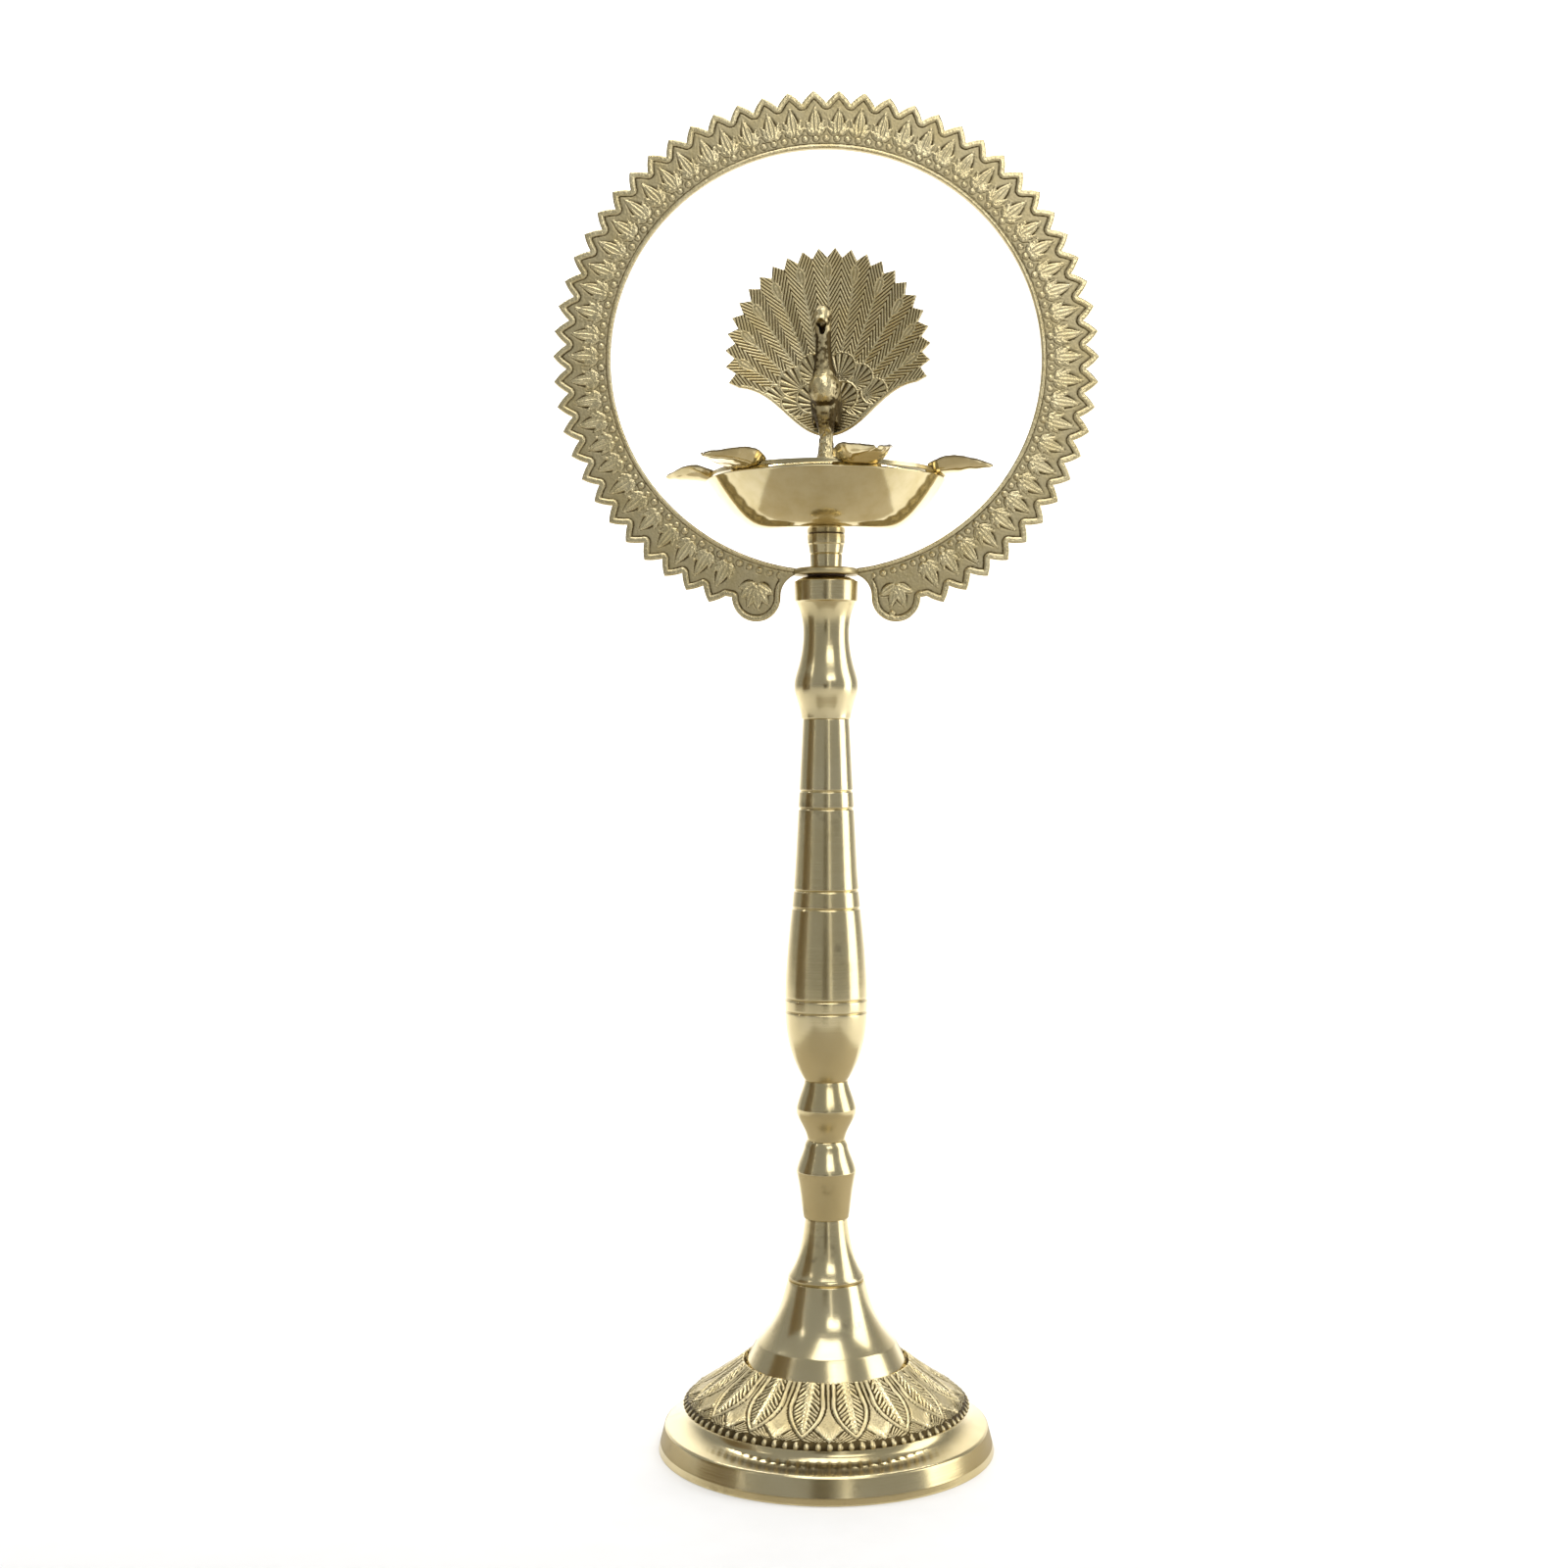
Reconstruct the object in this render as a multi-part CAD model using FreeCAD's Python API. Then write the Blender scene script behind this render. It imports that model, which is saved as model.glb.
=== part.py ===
"""Standing brass oil lamp: a stacked, turned column carries a cast halo, a bowl with spouts and a peacock.

Millimetres. The origin is the centre of the foot on the floor, +Z is up and the peacock faces -Y.
Each function returns one named piece; the pieces are listed at the end and written to parts/.
Every thread is a plain cylinder.
"""
import FreeCAD, Part
import math
import os

ORIGIN = FreeCAD.Vector(0, 0, 0)
UP = FreeCAD.Vector(0, 0, 1)
BACK = FreeCAD.Vector(0, 1, 0)

# Heights of the seams in the stack, from the floor up
SKIRT_SEAT_Z = 18.5
CONE_SEAT_Z = 37.0
NECK_SEAT_Z = 74.9
LOWER_KNOP_Z = 102.9
UPPER_KNOP_Z = 137.6
SHAFT_Z = 164.5
CAPITAL_Z = 327.1
CROWN_Z = 391.3

# Fits and threads
RUNNING_FIT = 0.05
WASHER_HEIGHT = 0.5
ROD_R = 4.0
SECTION_BORE = 4.4
REGISTER_R = 6.4
REGISTER_HEIGHT = 2.5
REGISTER_END_GAP = 0.3
STEM_THREAD_R = 4.0
STEM_HOLE_R = 4.3
FINIAL_THREAD_R = 3.0
THREAD_END_GAP = 1.0

# Clamp under the foot
ROD_BOTTOM_Z = 2.0
ROD_TOP_Z = 345.0
CLAMP_BAR_Z = 9.0
CLAMP_BAR_SIZE = (122.0, 18.0, 4.0)
CLAMP_BAR_CORNER_R = 6.0
NUT_HEIGHT = 5.0
NUT_ACROSS_FLATS = 13.0
NUT_CHAMFER = 1.2

# Shaft grooves: height, and radius of the shaft there
SHAFT_GROOVES = [(195.8, 18.9), (201.5, 18.9), (242.2, 15.7), (250.1, 14.9), (286.8, 12.7), (294.7, 12.3)]
GROOVE_DEPTH = 0.6
GROOVE_HALF_WIDTH = 1.2

# Halo: half axes along X and Z of its hole, of the valleys between its teeth and of their tips
HALO_CENTRE = FreeCAD.Vector(0, 0, 489.0)
HALO_THICKNESS = 3.0
HALO_HOLE = (97.1, 95.0)
HALO_VALLEY = (117.0, 115.5)
HALO_TIP = (123.0, 121.0)
HALO_TEETH_PER_SIDE = 29
HALO_TOOTH_PITCH_DEG = 5.42
HALO_TOOTH_BULGE = 0.5
HALO_BOSS_R = 14.6
HALO_BOSS_BOTTOM_Z = CROWN_Z + WASHER_HEIGHT
HALO_BOSS_TOP_Z = HALO_BOSS_BOTTOM_Z + 3.0
LOBE_X = 31.5
LOBE_Z = 382.0
LOBE_R = 11.0

# Bowl
BOWL_UNDERSIDE_Z = 410.6
BOWL_FLOOR_Z = 413.6
BOWL_RIM_Z = 437.6
BOWL_RIM_R = 51.5
BOWL_RIM_WALL = 2.0
SPOUT_COUNT = 6
SPOUT_FIRST_DEG = -75.0
SPOUT_WALL = 1.6
TROUGH_START_R = 44.0
# Sections across a spout: distance from the axis, half width, height of its edges, height of its underside
SPOUT_SECTIONS = [
    (48.0, 11.0, 438.4, 434.4),
    (54.0, 12.6, 440.8, 434.9),
    (60.0, 12.0, 441.8, 435.8),
    (66.0, 9.4, 441.2, 436.6),
    (71.0, 5.8, 440.0, 437.2),
    (74.5, 2.6, 439.2, 437.8),
]

# Bowl stem, bowl post and the peacock's spigot
STEM_STUD_BOTTOM_Z = 378.0
STEM_STUD_TOP_Z = 424.0
POST_TOP_Z = 437.5
SPIGOT_BOTTOM_Z = 429.5

# Peacock
FINIAL_TURN_DEG = -11.0
TAIL_CENTRE_Z = 493.0
TAIL_TIP_R = 46.8
TAIL_VALLEY_R = 42.8
TAIL_TEETH = 24
TAIL_CORNER_DEG = 110.0
TAIL_BOTTOM_Z = 455.5
TAIL_DISH_R = 160.0
TAIL_FRONT_Y = 8.0
TAIL_THICKNESS = 2.0
RIVET_HEIGHTS = (469.0, 481.0)
RIVET_R = 1.25
RIVET_HEAD_R = 2.5
RIVET_DEPTH = 5.0


def point(r, z):
    """Point of a turned outline: radius r at height z."""
    return FreeCAD.Vector(r, 0, z)


def polar(centre, radii, degrees):
    """Point on an upright ellipse, counted from its top towards +X."""
    angle = math.radians(degrees)
    return centre + FreeCAD.Vector(radii[0] * math.sin(angle), 0, radii[1] * math.cos(angle))


def curve(points):
    """Smooth edge through a list of points."""
    spline = Part.BSplineCurve()
    spline.interpolate(points)
    return spline.toShape()


def outline(start, steps):
    """Closed face: a step is a corner (r, z), or a list of them that a smooth curve passes through."""
    edges = []
    here = start
    for step in steps:
        if isinstance(step, list):
            edges.append(curve([point(*here)] + [point(*corner) for corner in step]))
            here = step[-1]
        else:
            edges.append(Part.makeLine(point(*here), point(*step)))
            here = step
    edges.append(Part.makeLine(point(*here), point(*start)))
    return Part.Face(Part.Wire(edges))


def turned(start, *steps):
    """Solid of revolution about the lamp's axis."""
    return outline(start, steps).revolve(ORIGIN, UP, 360)


def cylinder(radius, bottom, top):
    return Part.makeCylinder(radius, top - bottom, point(0, bottom), UP)


def washer(radius, bore, bottom):
    top = bottom + WASHER_HEIGHT
    return cylinder(radius, bottom, top).cut(cylinder(bore, bottom, top))


def with_spigot(section, seam):
    """Add the collar on top of a column section that centres the section above."""
    bottom = seam - 1
    top = seam + REGISTER_HEIGHT
    spigot = cylinder(REGISTER_R, bottom, top).cut(cylinder(SECTION_BORE, bottom, top))
    return section.fuse(spigot).removeSplitter()


def with_recess(section, seam):
    """Cut the hollow in the bottom of a column section that takes the spigot below."""
    return section.cut(cylinder(REGISTER_R + RUNNING_FIT, seam, seam + REGISTER_HEIGHT + REGISTER_END_GAP))


def foot_ring():
    """Flared floor ring with a polished band; open underneath, with a flat ledge for the clamp bar."""
    ledge_z = CLAMP_BAR_Z + CLAMP_BAR_SIZE[2]
    return turned(
        (54.0, ledge_z), (63.0, ledge_z), [(68.0, 8.0), (70.6, 0)], (75.3, 0), (72.6, 10.5), (71.8, 11.2),
        [(66.5, 12.7), (62.5, 15.2), (61.2, SKIRT_SEAT_Z)], (54.0, SKIRT_SEAT_Z))


def lotus_skirt():
    """Cast shell between the foot and the cone; its lower edge overhangs the foot."""
    return turned(
        (56.5, SKIRT_SEAT_Z), (62.4, SKIRT_SEAT_Z), [(63.5, 19.3), (62.8, 21.2)],
        [(58.0, 24.6), (50.0, 29.9), (37.6, 39.0)], (36.9, 39.0), (36.9, CONE_SEAT_Z),
        (31.0, CONE_SEAT_Z), (31.0, 34.0), [(44.0, 28.0), (56.5, 20.5)])


def base_cone():
    """Hollow trumpet with a polished flange that drops into the skirt's rim."""
    cone = turned(
        (32.0, CONE_SEAT_Z), (36.7, CONE_SEAT_Z), (31.4, 47.4),
        [(26.0, 53.4), (22.1, 59.8), (19.4, 67.2), (17.4, NECK_SEAT_Z)], (SECTION_BORE, NECK_SEAT_Z),
        (SECTION_BORE, 69.0), (14.5, 69.0), [(16.5, 62.0), (21.5, 53.5), (27.5, 47.0)])
    return with_spigot(cone, NECK_SEAT_Z)


def base_neck():
    """Slender trumpet that springs from a sharp ridge."""
    neck = turned(
        (SECTION_BORE, NECK_SEAT_Z), (16.8, NECK_SEAT_Z), (17.4, 76.3), (17.1, 77.2),
        [(13.6, 83.5), (11.05, 92.4), (9.45, LOWER_KNOP_Z)], (SECTION_BORE, LOWER_KNOP_Z))
    return with_spigot(with_recess(neck, NECK_SEAT_Z), LOWER_KNOP_Z)


def lower_knop():
    """Knop with one sharp shoulder."""
    knop = turned(
        (SECTION_BORE, LOWER_KNOP_Z), (10.3, LOWER_KNOP_Z),
        [(10.9, 106.5), (11.6, 111.8), (12.7, 118.9), (13.75, 123.9)],
        [(12.9, 126.8), (11.5, 130.3), (9.8, 135.7)], (8.8, UPPER_KNOP_Z), (SECTION_BORE, UPPER_KNOP_Z))
    return with_spigot(with_recess(knop, LOWER_KNOP_Z), UPPER_KNOP_Z)


def upper_knop():
    """Knop with a short band at its widest."""
    knop = turned(
        (SECTION_BORE, UPPER_KNOP_Z), (8.7, UPPER_KNOP_Z), [(9.1, 140.1), (10.6, 143.6), (13.5, 149.8)],
        (13.7, 152.0), [(11.9, 157.8), (10.5, 161.8), (9.8, SHAFT_Z)], (SECTION_BORE, SHAFT_Z))
    return with_spigot(with_recess(knop, UPPER_KNOP_Z), SHAFT_Z)


def shaft():
    """Long cored baluster with three pairs of grooves."""
    body = turned(
        (SECTION_BORE, SHAFT_Z), (9.8, SHAFT_Z),
        [(15.2, 175.4), (18.2, 187.8), (18.9, 199.0), (18.3, 214.3), (16.8, 232.0), (14.9, 250.1),
         (13.7, 269.1), (12.3, 294.7), (10.6, CAPITAL_Z)],
        (SECTION_BORE, CAPITAL_Z), (SECTION_BORE, 316.0),
        [(8.5, 285.0), (10.5, 250.0), (13.8, 205.0), (SECTION_BORE, 174.0)])
    for height, radius in SHAFT_GROOVES:
        mouth_r = radius + GROOVE_DEPTH
        body = body.cut(turned(
            (mouth_r, height - GROOVE_HALF_WIDTH), (mouth_r, height + GROOVE_HALF_WIDTH),
            (radius - GROOVE_DEPTH, height)))
    return with_spigot(with_recess(body, SHAFT_Z), CAPITAL_Z)


def capital():
    """Vase under a wide collar; the rod screws into it from below and the bowl's stem from above."""
    body = turned(
        (0, CAPITAL_Z), (11.2, CAPITAL_Z),
        [(12.4, 332.8), (14.6, 342.5), (12.8, 350.4), (10.5, 366.3), (13.4, 379.4)],
        (14.2, 380.0), (14.6, 388.9), [(12.0, 390.3), (8.5, CROWN_Z)], (0, CROWN_Z))
    body = body.cut(cylinder(ROD_R + RUNNING_FIT, CAPITAL_Z, ROD_TOP_Z + THREAD_END_GAP))
    body = body.cut(cylinder(STEM_THREAD_R + RUNNING_FIT, STEM_STUD_BOTTOM_Z - THREAD_END_GAP, CROWN_Z))
    return with_recess(body, CAPITAL_Z)


def tie_rod():
    """Rod that clamps the whole column between the capital and the bar under the foot."""
    return cylinder(ROD_R, ROD_BOTTOM_Z, ROD_TOP_Z)


def clamp_bar():
    """Flat bar across the hollow foot; its ends press up against the foot's ledge."""
    length, width, height = CLAMP_BAR_SIZE
    bar = Part.makeBox(length, width, height, FreeCAD.Vector(-length / 2, -width / 2, CLAMP_BAR_Z))
    upright = [edge for edge in bar.Edges if edge.BoundBox.ZLength > height / 2]
    bar = bar.makeFillet(CLAMP_BAR_CORNER_R, upright)
    return bar.cut(cylinder(ROD_R + RUNNING_FIT, CLAMP_BAR_Z, CLAMP_BAR_Z + height))


def clamp_washer():
    return washer(9.0, ROD_R + RUNNING_FIT, CLAMP_BAR_Z - WASHER_HEIGHT)


def clamp_nut():
    """Hexagon nut with the corners of its lower face turned off."""
    top = CLAMP_BAR_Z - WASHER_HEIGHT
    bottom = top - NUT_HEIGHT
    corner_r = NUT_ACROSS_FLATS / math.sqrt(3)
    corners = []
    for k in range(7):
        angle = math.radians(60 * k)
        corners.append(FreeCAD.Vector(corner_r * math.cos(angle), corner_r * math.sin(angle), bottom))
    hexagon = Part.Face(Part.makePolygon(corners)).extrude(UP * NUT_HEIGHT)
    blank = turned(
        (0, bottom), (corner_r - NUT_CHAMFER, bottom), (corner_r, bottom + NUT_CHAMFER), (corner_r, top),
        (0, top))
    return hexagon.common(blank).cut(cylinder(ROD_R + RUNNING_FIT, bottom, top))


def halo_washer():
    return washer(8.4, STEM_HOLE_R, CROWN_Z)


def tooth_side(foot, tip):
    """Slightly bulging edge between a tooth's foot and its tip."""
    middle = (foot + tip) / 2
    outward = (middle - HALO_CENTRE).normalize()
    return Part.Arc(foot, middle + outward * HALO_TOOTH_BULGE, tip).toShape()


def halo_teeth():
    """Toothed outer edge, from the lower left round the top to the lower right."""
    edges = []
    for k in range(-HALO_TEETH_PER_SIDE, HALO_TEETH_PER_SIDE):
        tip = polar(HALO_CENTRE, HALO_TIP, (k + 0.5) * HALO_TOOTH_PITCH_DEG)
        for valley in (k, k + 1):
            edges.append(tooth_side(polar(HALO_CENTRE, HALO_VALLEY, valley * HALO_TOOTH_PITCH_DEG), tip))
    return edges


def halo_lower_edge():
    """A rounded lobe on each side, and the straight bar between them."""
    last_valley = polar(HALO_CENTRE, HALO_VALLEY, HALO_TEETH_PER_SIDE * HALO_TOOTH_PITCH_DEG)
    bar_ends = (point(-HALO_BOSS_R, HALO_BOSS_BOTTOM_Z), point(HALO_BOSS_R, HALO_BOSS_BOTTOM_Z))
    edges = [Part.makeLine(*bar_ends)]
    for side in (1, -1):
        valley = point(side * last_valley.x, last_valley.z)
        lobe_outside = point(side * (LOBE_X + LOBE_R), LOBE_Z)
        lobe_bottom = point(side * LOBE_X, LOBE_Z - LOBE_R)
        lobe_inside = point(side * (LOBE_X - LOBE_R), LOBE_Z)
        armpit = point(side * (LOBE_X - LOBE_R - 2.0), 388.6)
        edges.append(Part.makeLine(valley, lobe_outside))
        edges.append(Part.Arc(lobe_outside, lobe_bottom, lobe_inside).toShape())
        edges.append(Part.Arc(lobe_inside, armpit, point(side * HALO_BOSS_R, HALO_BOSS_BOTTOM_Z)).toShape())
    return edges


def halo():
    """Flat cast ring with pointed teeth; a round boss on its lower bar takes the bowl's stem."""
    outer = Part.Face(Part.Wire(Part.sortEdges(halo_teeth() + halo_lower_edge())[0]))
    hole_side = polar(HALO_CENTRE, HALO_HOLE, 90)
    hole_top = polar(HALO_CENTRE, HALO_HOLE, 0)
    hole = Part.Face(Part.Wire(Part.Ellipse(hole_side, hole_top, HALO_CENTRE).toShape()))
    plate = outer.cut(hole).translated(BACK * (-HALO_THICKNESS / 2)).extrude(BACK * HALO_THICKNESS)
    boss = cylinder(HALO_BOSS_R, HALO_BOSS_BOTTOM_Z, HALO_BOSS_TOP_Z)
    stem_seat = cylinder(HALO_BOSS_R, HALO_BOSS_TOP_Z, HALO_BOSS_TOP_Z + 5)
    stem_hole = cylinder(STEM_HOLE_R, HALO_BOSS_BOTTOM_Z, HALO_BOSS_TOP_Z)
    return plate.cut(stem_seat).fuse(boss).cut(stem_hole).removeSplitter()


def stem_washer():
    return washer(6.8, STEM_HOLE_R, HALO_BOSS_TOP_Z)


def bowl_stem():
    """Short turned stem with a stud below, through the halo, and a stud above, through the bowl."""
    foot_z = HALO_BOSS_TOP_Z + WASHER_HEIGHT
    top_z = BOWL_UNDERSIDE_Z - WASHER_HEIGHT
    body = turned(
        (0, foot_z), (7.1, foot_z), (7.4, 400.9), (7.1, 401.3), (7.5, 401.7), (8.1, 405.4), (8.5, 406.0),
        (8.4, top_z), (0, top_z))
    return body.fuse(cylinder(STEM_THREAD_R, STEM_STUD_BOTTOM_Z, STEM_STUD_TOP_Z)).removeSplitter()


def bowl_washer():
    return washer(7.6, STEM_HOLE_R, BOWL_UNDERSIDE_Z - WASHER_HEIGHT)


def spout_section(distance, half_width, edge_z, bottom_z, open_height=0):
    """Closed U-shaped section across a spout; open_height carries its sides up past the edges."""
    def at(y, z):
        return FreeCAD.Vector(distance, y, z)

    bend_y = half_width * 0.72
    bend_z = bottom_z + (edge_z - bottom_z) * 0.28
    left = at(-half_width, edge_z)
    right = at(half_width, edge_z)
    edges = [curve([left, at(-bend_y, bend_z), at(0, bottom_z), at(bend_y, bend_z), right])]
    corners = [right, at(half_width, edge_z + open_height), at(-half_width, edge_z + open_height), left]
    if open_height:
        edges += Part.makePolygon(corners).Edges
    else:
        edges.append(Part.makeLine(right, left))
    return Part.Wire(edges)


def spout_hull():
    """Outside of one spout, along +X, cut off where the bowl's inside begins."""
    hull = Part.makeLoft([spout_section(*section) for section in SPOUT_SECTIONS], True)
    inner_r = BOWL_RIM_R - BOWL_RIM_WALL / 2
    above_z = BOWL_RIM_Z + 10
    inside = turned(
        (0, BOWL_UNDERSIDE_Z), (27.0, BOWL_UNDERSIDE_Z), (inner_r, BOWL_RIM_Z), (inner_r, above_z),
        (0, above_z))
    return hull.cut(inside)


def spout_trough():
    """Space inside a spout, from the bowl to just behind the tip."""
    sections = [(TROUGH_START_R,) + SPOUT_SECTIONS[0][1:]] + SPOUT_SECTIONS[:-1]
    wires = [spout_section(distance, half_width - SPOUT_WALL, edge_z, bottom_z + SPOUT_WALL, 6.0)
             for distance, half_width, edge_z, bottom_z in sections]
    return Part.makeLoft(wires, True)


def bowl_shell():
    """Turned bowl: a bevelled bright edge with the thin cast rim standing inside it."""
    return turned(
        (STEM_HOLE_R, BOWL_UNDERSIDE_Z), (28.0, BOWL_UNDERSIDE_Z),
        [(33.6, 411.9), (38.0, 414.6), (44.4, 420.8), (49.9, 427.6), (54.1, 433.8)],
        (52.6, 435.2), (BOWL_RIM_R, 435.6), (BOWL_RIM_R, BOWL_RIM_Z),
        (BOWL_RIM_R - BOWL_RIM_WALL, BOWL_RIM_Z),
        [(49.0, 432.0), (43.5, 423.4), (36.0, 416.6), (27.0, BOWL_FLOOR_Z)],
        (STEM_HOLE_R, BOWL_FLOOR_Z))


def oil_bowl():
    """Bowl with its ring of open spouts, one casting."""
    hull = spout_hull()
    trough = spout_trough()
    headings = [SPOUT_FIRST_DEG + k * 360 / SPOUT_COUNT for k in range(SPOUT_COUNT)]
    hulls = [hull.rotated(ORIGIN, UP, heading) for heading in headings]
    troughs = [trough.rotated(ORIGIN, UP, heading) for heading in headings]
    return bowl_shell().fuse(hulls).cut(troughs).removeSplitter()


def post_washer():
    return washer(7.0, STEM_HOLE_R, BOWL_FLOOR_Z)


def bowl_post():
    """Turned nut that clamps the bowl to the stem; the peacock screws into its top."""
    bottom_z = BOWL_FLOOR_Z + WASHER_HEIGHT
    body = turned(
        (0, bottom_z), (7.5, bottom_z), (7.5, 417.0),
        [(6.3, 418.6), (5.9, 424.0), (6.4, 429.6), (7.2, 434.0)],
        (8.4, 434.8), (8.4, POST_TOP_Z), (0, POST_TOP_Z))
    body = body.cut(cylinder(STEM_THREAD_R + RUNNING_FIT, bottom_z, STEM_STUD_TOP_Z + THREAD_END_GAP))
    return body.cut(cylinder(FINIAL_THREAD_R + RUNNING_FIT, SPIGOT_BOTTOM_Z - THREAD_END_GAP, POST_TOP_Z))


def finial_washer():
    return washer(7.5, FINIAL_THREAD_R + RUNNING_FIT, POST_TOP_Z)


def ellipsoid(centre, radii):
    """Ball stretched along the row axes."""
    stretch = FreeCAD.Matrix()
    stretch.scale(*radii)
    return Part.makeSphere(1).transformGeometry(stretch).translated(FreeCAD.Vector(*centre))


def neck_ring(y, z, radius, lean_deg):
    """Round section of the bird's neck, whose upward normal leans towards -Y."""
    lean = math.radians(lean_deg)
    normal = FreeCAD.Vector(0, -math.sin(lean), math.cos(lean))
    return Part.Wire(Part.Circle(FreeCAD.Vector(0, y, z), normal, radius).toShape())


def tail_ball(radius):
    """Ball that the dished tail is part of."""
    return Part.makeSphere(radius, FreeCAD.Vector(0, TAIL_FRONT_Y - TAIL_DISH_R, TAIL_CENTRE_Z))


def rivet_hole(height):
    """Blind hole for a tail rivet, through the tail and into the pad on the bird's back."""
    return Part.makeCylinder(RIVET_R + RUNNING_FIT, 4 * RIVET_DEPTH, rivet_end(height), BACK)


def rivet_end(height):
    """Front end of a tail rivet's shank."""
    return FreeCAD.Vector(0, TAIL_FRONT_Y - RIVET_DEPTH, height)


def peacock_body():
    """Bird, stem and flared foot in one casting, with a pad behind the back for the tail."""
    foot_z = POST_TOP_Z + WASHER_HEIGHT
    stand = turned(
        (0, foot_z), (10.2, foot_z), (10.2, foot_z + 1.2), [(6.6, 441.0), (4.2, 444.4), (3.2, 449.0)],
        (3.3, 468.0), (0, 468.0))
    spigot = cylinder(FINIAL_THREAD_R, SPIGOT_BOTTOM_Z, foot_z)
    chest = ellipsoid((0, -3.0, 473.0), (6.6, 8.6, 11.0))
    neck = Part.makeLoft([
        neck_ring(-5.0, 478.0, 4.6, 12), neck_ring(-6.6, 486.0, 3.4, 8),
        neck_ring(-7.4, 495.0, 3.1, 4), neck_ring(-8.0, 506.0, 3.6, 10)], True)
    head = ellipsoid((0, -9.2, 508.0), (4.4, 5.6, 5.0))
    beak = Part.makeCone(2.4, 0.4, 8.0, FreeCAD.Vector(0, -12.6, 507.2), FreeCAD.Vector(0, -0.94, -0.34))
    pad = Part.makeBox(7.0, 16.0, 20.0, FreeCAD.Vector(-3.5, -3.0, 465.0)).common(tail_ball(TAIL_DISH_R))
    bird = stand.fuse([spigot, chest, neck, head, beak, pad])
    return bird.cut([rivet_hole(height) for height in RIVET_HEIGHTS]).removeSplitter()


def tail_fan():
    """Flat outline of the tail: pointed feathers over a lower edge that sweeps down to one point."""
    centre = point(0, TAIL_CENTRE_Z)
    pitch = 2 * TAIL_CORNER_DEG / TAIL_TEETH
    corners = []
    for k in range(TAIL_TEETH):
        corners.append(polar(centre, (TAIL_VALLEY_R, TAIL_VALLEY_R), k * pitch - TAIL_CORNER_DEG))
        corners.append(polar(centre, (TAIL_TIP_R, TAIL_TIP_R), (k + 0.5) * pitch - TAIL_CORNER_DEG))
    corners.append(polar(centre, (TAIL_VALLEY_R, TAIL_VALLEY_R), TAIL_CORNER_DEG))
    edges = Part.makePolygon(corners).Edges
    for side, corner in ((-1, corners[0]), (1, corners[-1])):
        edges.append(curve([
            corner, point(side * 24, 470.5), point(side * 12, 460.0), point(0, TAIL_BOTTOM_Z)]))
    return Part.Face(Part.Wire(Part.sortEdges(edges)[0]))


def peacock_tail():
    """Dished fan; its rim curves forward round the bird."""
    dish = tail_ball(TAIL_DISH_R + TAIL_THICKNESS).cut(tail_ball(TAIL_DISH_R))
    reach = TAIL_FRONT_Y + TAIL_THICKNESS
    fan = dish.common(tail_fan().translated(BACK * -reach).extrude(BACK * 2 * (reach + 1)))
    return fan.cut([rivet_hole(height) for height in RIVET_HEIGHTS])


def tail_rivets():
    """Two rivets with domed heads behind the tail."""
    outer_r = TAIL_DISH_R + TAIL_THICKNESS
    rivets = []
    for height in RIVET_HEIGHTS:
        highest = abs(height - TAIL_CENTRE_Z) - RIVET_HEAD_R
        back_y = TAIL_FRONT_Y - TAIL_DISH_R + math.sqrt(outer_r ** 2 - highest ** 2)
        head_centre = FreeCAD.Vector(0, back_y, height)
        shank = Part.makeCylinder(RIVET_R, back_y - rivet_end(height).y, rivet_end(height), BACK)
        head = Part.makeSphere(RIVET_HEAD_R, head_centre).common(
            Part.makeCylinder(RIVET_HEAD_R, RIVET_HEAD_R, head_centre, BACK))
        rivets.append(shank.fuse(head).removeSplitter())
    return Part.makeCompound(rivets)


def finial(piece):
    """The peacock stands turned a little away from the lamp's front."""
    return piece.rotated(ORIGIN, UP, FINIAL_TURN_DEG)


PIECES = {
    "foot_ring": foot_ring(),
    "lotus_skirt": lotus_skirt(),
    "base_cone": base_cone(),
    "base_neck": base_neck(),
    "lower_knop": lower_knop(),
    "upper_knop": upper_knop(),
    "shaft": shaft(),
    "capital": capital(),
    "tie_rod": tie_rod(),
    "clamp_bar": clamp_bar(),
    "clamp_washer": clamp_washer(),
    "clamp_nut": clamp_nut(),
    "halo_washer": halo_washer(),
    "halo": halo(),
    "stem_washer": stem_washer(),
    "bowl_stem": bowl_stem(),
    "bowl_washer": bowl_washer(),
    "oil_bowl": oil_bowl(),
    "post_washer": post_washer(),
    "bowl_post": bowl_post(),
    "finial_washer": finial_washer(),
    "peacock_body": finial(peacock_body()),
    "peacock_tail": finial(peacock_tail()),
    "tail_rivets": finial(tail_rivets()),
}

os.makedirs("parts", exist_ok=True)
for name, shape in PIECES.items():
    shape.exportStep("parts/" + name + ".step")
    cubic_cm = shape.Volume / 1000
    print(f"{name:14s} solids {len(shape.Solids)} valid {shape.isValid()} volume {cubic_cm:7.2f} cm3")
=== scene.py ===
"""Looks of the standing brass oil lamp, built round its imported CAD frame.

Shapes are worked out in millimetres and stored in metres; +Z is up and the peacock faces -Y.
Turned pieces are spun from the half section of their CAD node. Cast pieces carry their relief as
real geometry.
"""
import bmesh
import bpy
import math
import numpy as np
from mathutils import Matrix, Vector, noise
from mathutils.geometry import delaunay_2d_cdt
from mathutils.kdtree import KDTree


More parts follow.
